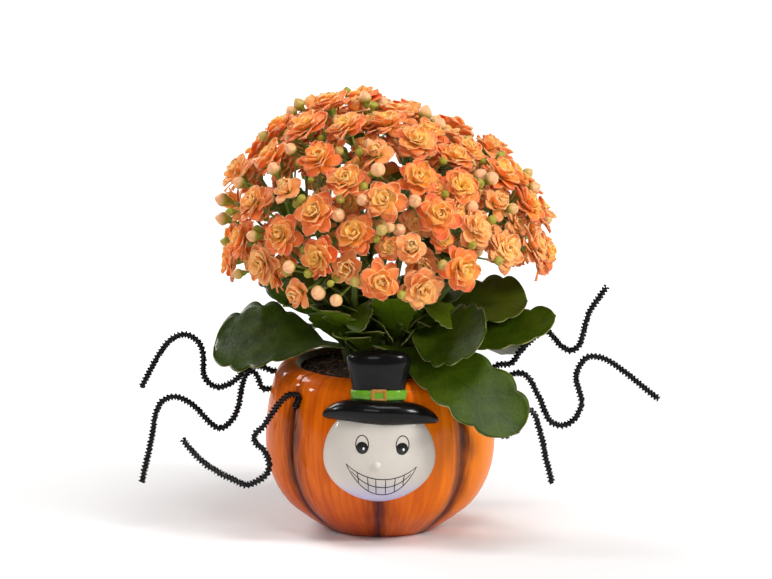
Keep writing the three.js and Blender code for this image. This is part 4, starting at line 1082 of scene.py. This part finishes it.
def leafy_stem(name, leaf_green, stem_green):
    azimuth, kind = SHOOTS[name]
    rng = np.random.default_rng(sum(map(ord, name)))
    skin = Skin("along", "edge", "tone")
    line = stem_line(azimuth, kind, 16)
    taper = STEM_TAPER * np.arange(len(line)) / 4
    skin.tube(line, STEM_RADIUS * (1 - taper), 14, slot=1)
    for leaf in LEAVES.get(name, []):
        tone = 0.25 * rng.random() if leaf[2] < 20 else 0.5 + 0.4 * rng.random()
        leaf_blade(skin, stem_place(azimuth, kind, leaf[0]), leaf, rng, tone=tone)
    for leaf in middle_leaves(azimuth, kind, rng):
        leaf_blade(skin, stem_place(azimuth, kind, leaf[0]), leaf, rng, 30, 7, tone=0.5 * rng.random())
    if name == "front_left":
        for root, *leaf in SHOWN_LEAVES:
            leaf_blade(skin, np.array(root, dtype=float), (0, *leaf), rng, 48, 13, tone=0.7)
    made = skin.piece(f"leafy_stem_{name}_fine", [leaf_green, stem_green])
    return dress(made, "foliage", f"leafy_stem_{name}")


# Flowers: their places, as the solids have them
def dome_swell(direction):
    nearness = [heading(azimuth, elevation) @ direction - 1 for azimuth, elevation, _ in HEAD_SWELLS]
    swells = [swell for _, _, swell in HEAD_SWELLS]
    return 1 + sum(s * math.exp(SWELL_SHARPNESS * n) for s, n in zip(swells, nearness))


def on_dome(direction, depth):
    return HEAD_CENTRE + direction * HEAD_REACH * depth * dome_swell(direction)


def skirt_height(direction):
    turn = math.atan2(direction[1], direction[0]) - math.radians(SKIRT_LIFT["azimuth"])
    return SKIRT_LIFT["rise"] * math.exp(SKIRT_LIFT["sharpness"] * (math.cos(turn) - 1)) - HEAD_SKIRT


def dome_direction(place):
    return unit((place - HEAD_CENTRE) / HEAD_REACH)


def from_height(height, turn):
    """A direction from its height, -1 to 1, and its turn about the vertical axis."""
    level = math.sqrt(1 - height * height)
    return np.array([level * math.cos(turn), level * math.sin(turn), height])


def jittered(direction, draw, sink):
    """A direction pushed about at random, the less upwards the greater its sink."""
    return unit(direction + FACING_JITTER * np.array([draw() - 0.5, draw() - 0.5, draw() - sink]))


def scattered(draw, tries, depths, sizes, below_skirt=0.0):
    """Random places over the head, each with its direction and a size."""
    for _ in range(tries):
        height = 1 - draw() * (1 + HEAD_SKIRT)
        direction = from_height(height, 2 * math.pi * draw())
        place = on_dome(direction, between(depths, draw))
        size = between(sizes, draw)
        if height >= skirt_height(direction) - below_skirt:
            yield place, direction, size


def is_clear(place, flowers, distance, share=0.0):
    """Whether a place is farther from every flower than a distance and a share of its radius."""
    return all(np.linalg.norm(f["place"] - place) > share * f["radius"] + distance for f in flowers)


def bloom_places():
    draw = random_stream(7)
    blooms = []
    for i in range(BLOOM_COUNT):
        height = 1 - (i + 0.5) / BLOOM_COUNT * (1 + HEAD_SKIRT)
        turn = i * math.pi * (3 - math.sqrt(5)) + BLOOM_TURN_JITTER * (draw() - 0.5)
        direction = from_height(height, turn)
        depth = between(BLOOM_DEPTHS, draw)
        half_open = i % HALF_OPEN["every"] == HALF_OPEN["first"]
        size = HALF_OPEN["size"] if half_open else between(BLOOM_SIZES, draw)
        blooms.append({"kind": "half_open" if half_open else "open", "place": on_dome(direction, depth),
                       "depth": depth, "radius": BLOOM_RADIUS * size})
    for _ in range(SPREAD["rounds"]):
        spread_apart(blooms)
    for bloom in blooms:
        bloom["direction"] = dome_direction(bloom["place"])
        bloom["facing"] = jittered(bloom["direction"], draw, 0.2)
    return blooms


def spread_apart(blooms):
    for i, first in enumerate(blooms):
        for second in blooms[i + 1:]:
            away = first["place"] - second["place"]
            distance = math.sqrt(away @ away)
            if distance >= BLOOM_SPACING:
                continue
            away = away / distance * SPREAD["push"] * (BLOOM_SPACING - distance)
            first["place"] = first["place"] + away
            second["place"] = second["place"] - away
    for bloom in blooms:
        direction = dome_direction(bloom["place"])
        direction[2] = max(direction[2], skirt_height(direction))
        bloom["place"] = on_dome(unit(direction), bloom["depth"])


def bud_places(blooms):
    buds = []
    for place, direction, size in scattered(random_stream(23), BUD_TRIES, BUD_DEPTHS, BUD_SIZES):
        if len(buds) == BUD_COUNT:
            break
        radius = BUD_RADIUS * size
        if is_clear(place, blooms, radius + BUD_CLEARANCE, 1.0) and is_clear(place, buds, BUD_SPACING):
            buds.append({"kind": "bud", "place": place, "direction": direction, "facing": direction,
                         "radius": radius})
    return buds


def chink_blooms(blooms):
    """Smaller and half-open blooms under and between the others."""
    rule = CHINK_BLOOMS
    draw = random_stream(57)
    added = []
    for place, direction, radius in scattered(draw, rule["tries"], rule["depths"], rule["radii"]):
        if len(added) == rule["count"]:
            break
        if is_clear(place, blooms, rule["clear"]) and is_clear(place, added, rule["apart"]):
            facing = jittered(direction, draw, 0.4)
            kind = "half_open" if draw() < rule["half_open"] else "open"
            added.append({"kind": kind, "place": place, "direction": direction, "facing": facing,
                          "radius": radius * (rule["half_open_size"] if kind == "half_open" else 1)})
    return added


def extra_buds(blooms, buds):
    """Smaller buds beside the others, scattered in the chinks between the blooms."""
    rule = EXTRA_BUDS
    draw = random_stream(41)
    places = scattered(draw, rule["tries"], rule["depths"], rule["radii"], rule["below_skirt"])
    extra = []
    for place, direction, radius in places:
        if len(extra) == rule["count"]:
            break
        off_blooms = is_clear(place, blooms, radius, rule["clear"])
        if off_blooms and is_clear(place, buds + extra, rule["apart"] * radius, rule["apart"]):
            extra.append({"kind": "bud", "place": place, "direction": direction,
                          "facing": jittered(direction, draw, 0.5), "radius": radius})
    return extra


def shared_out(flowers):
    names = list(SHOOTS)
    ways = np.array([heading(azimuth, kind["elevation"]) for azimuth, kind in SHOOTS.values()])
    shares = {name: [] for name in names}
    for flower in flowers:
        shares[names[int(np.argmax(ways @ flower["direction"]))]].append(flower)
    return shares


def groups_of(flowers, axis):
    across, along = cross_axes(axis, np.array([0.2, 0.5, 0.8]))
    by_turn = sorted(flowers, key=lambda f: math.atan2(f["direction"] @ along, f["direction"] @ across))
    count = max(1, math.floor(len(flowers) / FLOWERS_PER_FORK + 0.5))
    groups = [[] for _ in range(count)]
    for i, flower in enumerate(by_turn):
        groups[i * count // len(by_turn)].append(flower)
    return groups


# Flowers: their petals. Each whorl is its petals' count, length, half width, the angle off the
# flower's axis at root and tip, the cupping and the height of its root, as shares of the radius.
OPEN_WHORLS = [
    (6, 1.04, 0.40, 72, 96, 0.12, -0.14),
    (6, 0.97, 0.38, 60, 84, 0.18, -0.08),
    (5, 0.84, 0.36, 45, 70, 0.26, -0.02),
    (5, 0.70, 0.31, 30, 56, 0.34, 0.03),
    (4, 0.55, 0.26, 14, 38, 0.44, 0.07),
    (3, 0.42, 0.17, 4, 14, 0.5, 0.1),
]
HALF_OPEN_WHORLS = [
    (5, 1.12, 0.50, 60, 90, 0.12, -0.2),
    (5, 0.98, 0.45, 46, 14, 0.42, -0.1),
    (5, 0.88, 0.40, 36, -14, 0.5, 0.0),
    (3, 0.74, 0.34, 24, -26, 0.5, 0.1),
]
PETAL_ROWS = np.array([0, 0.28, 0.54, 0.78, 0.93, 1.0])
PETAL_COLUMNS = np.array([-1, -0.55, 0, 0.55, 1])
PETAL_WIDEST = 0.6
# The cup under a flower, and a sepal's half width at shares of its length, as shares of the cup's size
CALYX_RADII = np.array([0.28, 0.62, 0.9, 0.75])
CALYX_PALENESS = np.array([0.4, 0.7, 0.9, 1.0])
SEPAL = [(0, 0.42), (0.35, 0.46), (0.7, 0.26), (1.0, 0.03)]
BUD_GRID = (11, 20)


def petal(skin, flower_axes, origin, radius, whorl, turn, level, tone, rng):
    _, length, half, root_angle, tip_angle, cup, lift = whorl
    across, up, axis = flower_axes
    v = PETAL_ROWS
    u = PETAL_COLUMNS
    length = length * radius * (0.88 + 0.22 * rng.random())
    half = half * radius * (0.88 + 0.26 * rng.random())
    bend = rng.normal(0, 9)
    angles = np.radians(root_angle + rng.normal(0, 4) + (tip_angle - root_angle) * v ** 1.3 + bend * v)
    steps = np.diff(v) * length
    middle = (angles[1:] + angles[:-1]) / 2
    out = np.concatenate([[0], np.cumsum(np.sin(middle) * steps)]) + 0.05 * radius
    rise = np.concatenate([[0], np.cumsum(np.cos(middle) * steps)]) + lift * radius
    radial = across * math.cos(turn) + up * math.sin(turn)
    side = np.cross(axis, radial)
    tilt = math.radians(9 + rng.normal(0, 9))
    inward = -np.cos(angles)[:, None] * radial + np.sin(angles)[:, None] * axis
    sideways = side * math.cos(tilt) + inward * math.sin(tilt)
    faceward = inward * math.cos(tilt) - side * math.sin(tilt)
    grown = 0.36 + 0.64 * np.sin(np.pi / 2 * np.minimum(v / PETAL_WIDEST, 1))
    closing = np.maximum(1 - np.maximum(0, (v - PETAL_WIDEST) / (1 - PETAL_WIDEST)) ** 2.1, 0) ** 0.6
    width = half * np.maximum(grown * closing, 0.06)
    wave = 0.11 * radius * v[:, None] ** 2 * np.sin(3.1 * u + 6.28 * rng.random()) * (u ** 2 + 0.1)
    lifted = cup * width[:, None] * u ** 2 + wave
    spine = origin + out[:, None] * radial + rise[:, None] * axis
    aside = width[:, None] * u
    points = spine[:, None] + sideways[:, None] * aside[..., None] + faceward[:, None] * lifted[..., None]
    # A short point at the tip
    points[-1] += (points[-1] - points[-2]) * 0.4
    edge = np.maximum(np.abs(u)[None, :], smoothstep(v, 0.88, 1.0)[:, None])
    skin.shell(points, 0.3, along=np.repeat(v, len(u)), edge=edge.ravel(), inner=level, tone=tone)


def bloom(petals, greens, flower, rng):
    axis = flower["facing"]
    across, up = cross_axes(axis, REFERENCE)
    spin = 2 * np.pi * rng.random()
    across, up = turned(across, axis, spin), turned(up, axis, spin)
    radius = flower["radius"] / (1.0 if flower["kind"] == "open" else 0.92)
    origin = flower["place"] - axis * 0.2 * radius
    whorls = OPEN_WHORLS if flower["kind"] == "open" else HALF_OPEN_WHORLS
    tone = rng.random() if flower["kind"] == "open" else 0.75 + 0.25 * rng.random()
    openness = rng.normal(0, 6)
    turn = 0.0
    for k, whorl in enumerate(whorls):
        count = whorl[0]
        shifted = whorl[:3] + (whorl[3] - openness * k / 3, whorl[4] - openness * k / 3) + whorl[5:]
        turn += math.pi / count + 0.35
        level = k / (len(whorls) - 1)
        for p in range(count):
            at = turn + 2 * math.pi * p / count + rng.normal(0, 0.08)
            petal(petals, (across, up, axis), origin, radius, shifted, at, level, tone, rng)
    calyx(greens, origin + axis * 0.02 * radius, axis, 0.24 * radius, rng)
    return origin - axis * 0.5 * radius


def calyx(greens, base, axis, size, rng):
    """A green cup under a flower, with four pointed sepals."""
    cup = [base - axis * size * 2.2, base - axis * size * 1.7, base - axis * size * 0.9, base]
    greens.tube(cup, CALYX_RADII * size, 8, along=CALYX_PALENESS)
    across, up = cross_axes(axis, REFERENCE)
    start = 6.28 * rng.random()
    for k in range(4):
        turn = start + math.pi * k / 2
        radial = across * math.cos(turn) + up * math.sin(turn)
        side = np.cross(axis, radial)
        rows = []
        for share, width in SEPAL:
            centre = base + radial * size * (0.75 + 0.5 * share) + axis * size * (2.1 * share - 1.3)
            rows.append([centre + side * size * width * u for u in (-1, 0, 1)])
        greens.shell(np.array(rows), 0.28, along=0.8)


def bud(petals, greens, flower, rng, slot):
    """A closed bud: a swollen drop with its petals' seams, in a small calyx."""
    axis = flower["facing"]
    across, up = cross_axes(axis, REFERENCE)
    radius = flower["radius"]
    rows, columns = BUD_GRID
    fall = np.linspace(0.02, 0.995, rows)
    turn = full_turn(columns)
    ring = np.sin(np.pi * fall ** 0.9) ** 0.78
    level = -1.0 + 2.25 * fall
    twist = turn[None, :] + 0.8 * fall[:, None]
    seam = np.abs(np.cos(2 * twist)) ** 0.35
    width = radius * ring[:, None] * (0.93 + 0.07 * seam)
    centre = flower["place"] + radius * level[:, None, None] * axis
    corners = centre + width[..., None] * (np.outer(np.cos(turn), across) + np.outer(np.sin(turn), up))
    ripe = np.clip((radius - 1.9) / 1.6, 0.05, 1.0) * (0.8 + 0.3 * rng.random())
    edge = (1 - seam) * smoothstep(fall, 0.3, 0.8)[:, None]
    petals.grid(corners, closed=True, slot=slot, along=np.repeat(fall, columns), tone=min(ripe, 1.0),
                edge=edge)
    calyx(greens, flower["place"] - axis * radius * 0.45, axis, 0.55 * radius, rng)
    return flower["place"] - axis * radius * 1.5


def small_leaf(greens, root, way, length, rng):
    """A bract or a small leaf among the stalks."""
    azimuth = math.degrees(math.atan2(way[1], way[0]))
    rise = math.degrees(math.asin(max(-1, min(1, way[2]))))
    leaf = (0, azimuth, rise + 12, 30, length, 0.24 * length, rng.normal(0, 25))
    leaf_blade(greens, root, leaf, rng, rows=16, columns=5, tone=0.35 + 0.5 * rng.random(), slot=1)


def stalk(greens, controls, kind):
    """A tapering stalk along a curve."""
    steps, radii, sides, paleness = STALKS[kind]
    greens.tube(smooth_line(controls, steps), np.linspace(*radii, steps + 1), sides,
                along=np.linspace(*paleness, steps + 1))


def flower_spray(name, flowers, materials):
    """A peduncle that branches out to its flowers, as the solid does, with finer petals and stalks."""
    azimuth, kind = SHOOTS[name]
    rng = np.random.default_rng(900 + sum(map(ord, name)))
    petal_look, bud_look, stalk_look, leaf_look = materials
    petals = Skin("along", "edge", "tone", "inner")
    greens = Skin("along", "edge", "tone")
    axis = joint_axis(azimuth, kind)
    start = shoot_joint(azimuth, kind) + axis * GAP / 2
    hub = on_dome(heading(azimuth, kind["hub_elevation"]), kind["hub_reach"])
    stalk(greens, [start, start + axis * STEM_STRAIGHT, hub], "main")
    groups = groups_of(flowers["solid"], heading(azimuth, kind["elevation"]))
    forks = []
    for group in groups:
        mean = unit(sum(f["direction"] for f in group))
        fork = on_dome(mean, FORK_REACH)
        forks.append(fork)
        inward = unit(hub - fork)
        bow = np.array([0, 0, 2.0])
        stalk(greens, [hub + inward, (hub + fork) / 2 - bow, fork], "fork")
        leader_first = sorted(group, key=lambda f: (f["kind"] == "bud") - f["direction"] @ mean)
        for i, flower in enumerate(leader_first):
            base = add_flower(petals, greens, flower, rng)
            root = fork + inward * FORK_SPACING * max(i - 0.5, 0)
            bend = (root + base) / 2 + unit(base - HEAD_CENTRE) * -1.0 + np.array([0, 0, -1.2])
            stalk(greens, [root, bend, base], "flower")
        for _ in range(BRACTS_PER_FORK):
            way = unit(mean + 0.8 * rng.normal(0, 1, 3))
            small_leaf(greens, fork + inward * 3 * rng.random(), way, 9 + 6 * rng.random(), rng)
    for flower in flowers["extra"]:
        base = add_flower(petals, greens, flower, rng)
        near = min(forks, key=lambda f: np.linalg.norm(f - flower["place"]))
        stalk(greens, [near, (near + base) / 2 + [0, 0, -1.5], base], "extra")
    made = petals.piece(f"blooms_{name}", [petal_look, bud_look])
    dress(made, "flowers", f"flower_spray_{name}")
    made = greens.piece(f"spray_stalks_{name}", [stalk_look, leaf_look])
    dress(made, "flowers", f"flower_spray_{name}")


def add_flower(petals, greens, flower, rng):
    if flower["kind"] == "bud":
        return bud(petals, greens, flower, rng, slot=1)
    return bloom(petals, greens, flower, rng)


# Stage
def stage():
    floor = bpy.data.meshes.new("floor")
    corners = [(x * FLOOR_HALF, y * FLOOR_HALF, 0) for x, y in ((-1, -1), (1, -1), (1, 1), (-1, 1))]
    floor.from_pydata(corners, [], [(0, 1, 2, 3)])
    made = bpy.data.objects.new("floor", floor)
    bpy.context.scene.collection.objects.link(made)
    n = Nodes("pale_floor")
    color = n.blend(n.noise(400.0), (0.9, 0.9, 0.9, 1.0), (0.93, 0.93, 0.93, 1.0))
    floor.materials.append(n.finish(color, 0.9))


def camera():
    data = bpy.data.cameras.new("camera")
    data.lens = CAMERA_FOCAL
    data.sensor_width = CAMERA_SENSOR
    distance = CAMERA_FOCAL / CAMERA_SENSOR * FRAME_WIDTH * MM
    made = bpy.data.objects.new("camera", data)
    elevation = math.radians(CAMERA_ELEVATION)
    aim = np.array(CAMERA_AIM) * MM
    made.location = aim + distance * np.array([0, -math.cos(elevation), math.sin(elevation)])
    made.rotation_euler = (math.pi / 2 - elevation, 0, 0)
    data.clip_end = 20
    bpy.context.scene.collection.objects.link(made)
    bpy.context.scene.camera = made


def softbox(name, place, aim, size, power, spread=180):
    """A light that looks at a point: lengths in metres, power in watts and spread in degrees."""
    data = bpy.data.lights.new(name, "AREA")
    data.spread = math.radians(spread)
    data.shape = "RECTANGLE"
    data.size, data.size_y = size
    data.energy = power
    made = bpy.data.objects.new(name, data)
    made.location = place
    way = unit(np.array(aim) - np.array(place))
    made.rotation_euler = (math.acos(-way[2]), 0, math.atan2(way[0], -way[1]) + math.pi)
    bpy.context.scene.collection.objects.link(made)


def lights():
    softbox("key_right", (1.3, -0.7, 1.0), (0, 0, 0.1), (0.4, 0.5), 19)
    softbox("side_left", (-1.35, 0.05, 0.72), (0, 0, 0.07), (0.2, 0.26), 5)
    softbox("rim_left", (-0.78, 0.92, 0.8), (-0.04, 0, 0.08), (0.55, 0.6), 12)
    softbox("front", (-0.5, -2.3, 1.3), (0, 0, 0.1), (1.0, 0.8), 9)
    softbox("top", (0.25, -0.5, 1.6), (0, 0, 0.15), (0.9, 0.7), 13)
    softbox("far_floor", (0, 1.6, 1.2), (0, 1.6, 0), (4.0, 1.6), 24, spread=75)
    world = bpy.data.worlds.new("studio")
    world.use_nodes = True
    background = world.node_tree.nodes["Background"]
    background.inputs["Color"].default_value = (1, 1, 1, 1)
    background.inputs["Strength"].default_value = WORLD_STRENGTH
    bpy.context.scene.world = world
    bpy.context.scene.view_settings.view_transform = "Standard"


def main():
    camera()
    black, white = black_glaze_material(), white_glaze_material()
    pot_shell(glaze_material(), paint_material("pot_inside", srgb(60, 22, 6), srgb(110, 44, 10), 3.0))
    face_relief(white)
    face_paint(paint_material("black_line", srgb(14, 12, 12), srgb(30, 28, 26)),
               paint_material("white_dot", srgb(238, 238, 236), srgb(250, 250, 250)))
    hat_brim(black)
    hat_crown(black)
    hat_band(paint_material("band_green", srgb(84, 148, 18), srgb(116, 172, 40)),
             paint_material("buckle_gold", srgb(150, 92, 20), srgb(200, 146, 62)))
    soil_bed(peat_material(), fibre_material())
    chenille, wire = chenille_material(), wire_material()
    for leg in LEGS:
        chenille_leg(leg, chenille, wire)
    leaf_green, stem_green = leaf_material(), stem_material()
    for name in SHOOTS:
        leafy_stem(name, leaf_green, stem_green)
    blooms = bloom_places()
    buds = bud_places(blooms)
    solid_shares = shared_out(blooms + buds)
    chinks = chink_blooms(blooms)
    extra_shares = shared_out(chinks + extra_buds(blooms + chinks, buds))
    looks = (petal_material(), bud_material(), stalk_material(), leaf_green)
    for name in SHOOTS:
        flower_spray(name, {"solid": solid_shares[name], "extra": extra_shares[name]}, looks)
    stage()
    lights()


main()
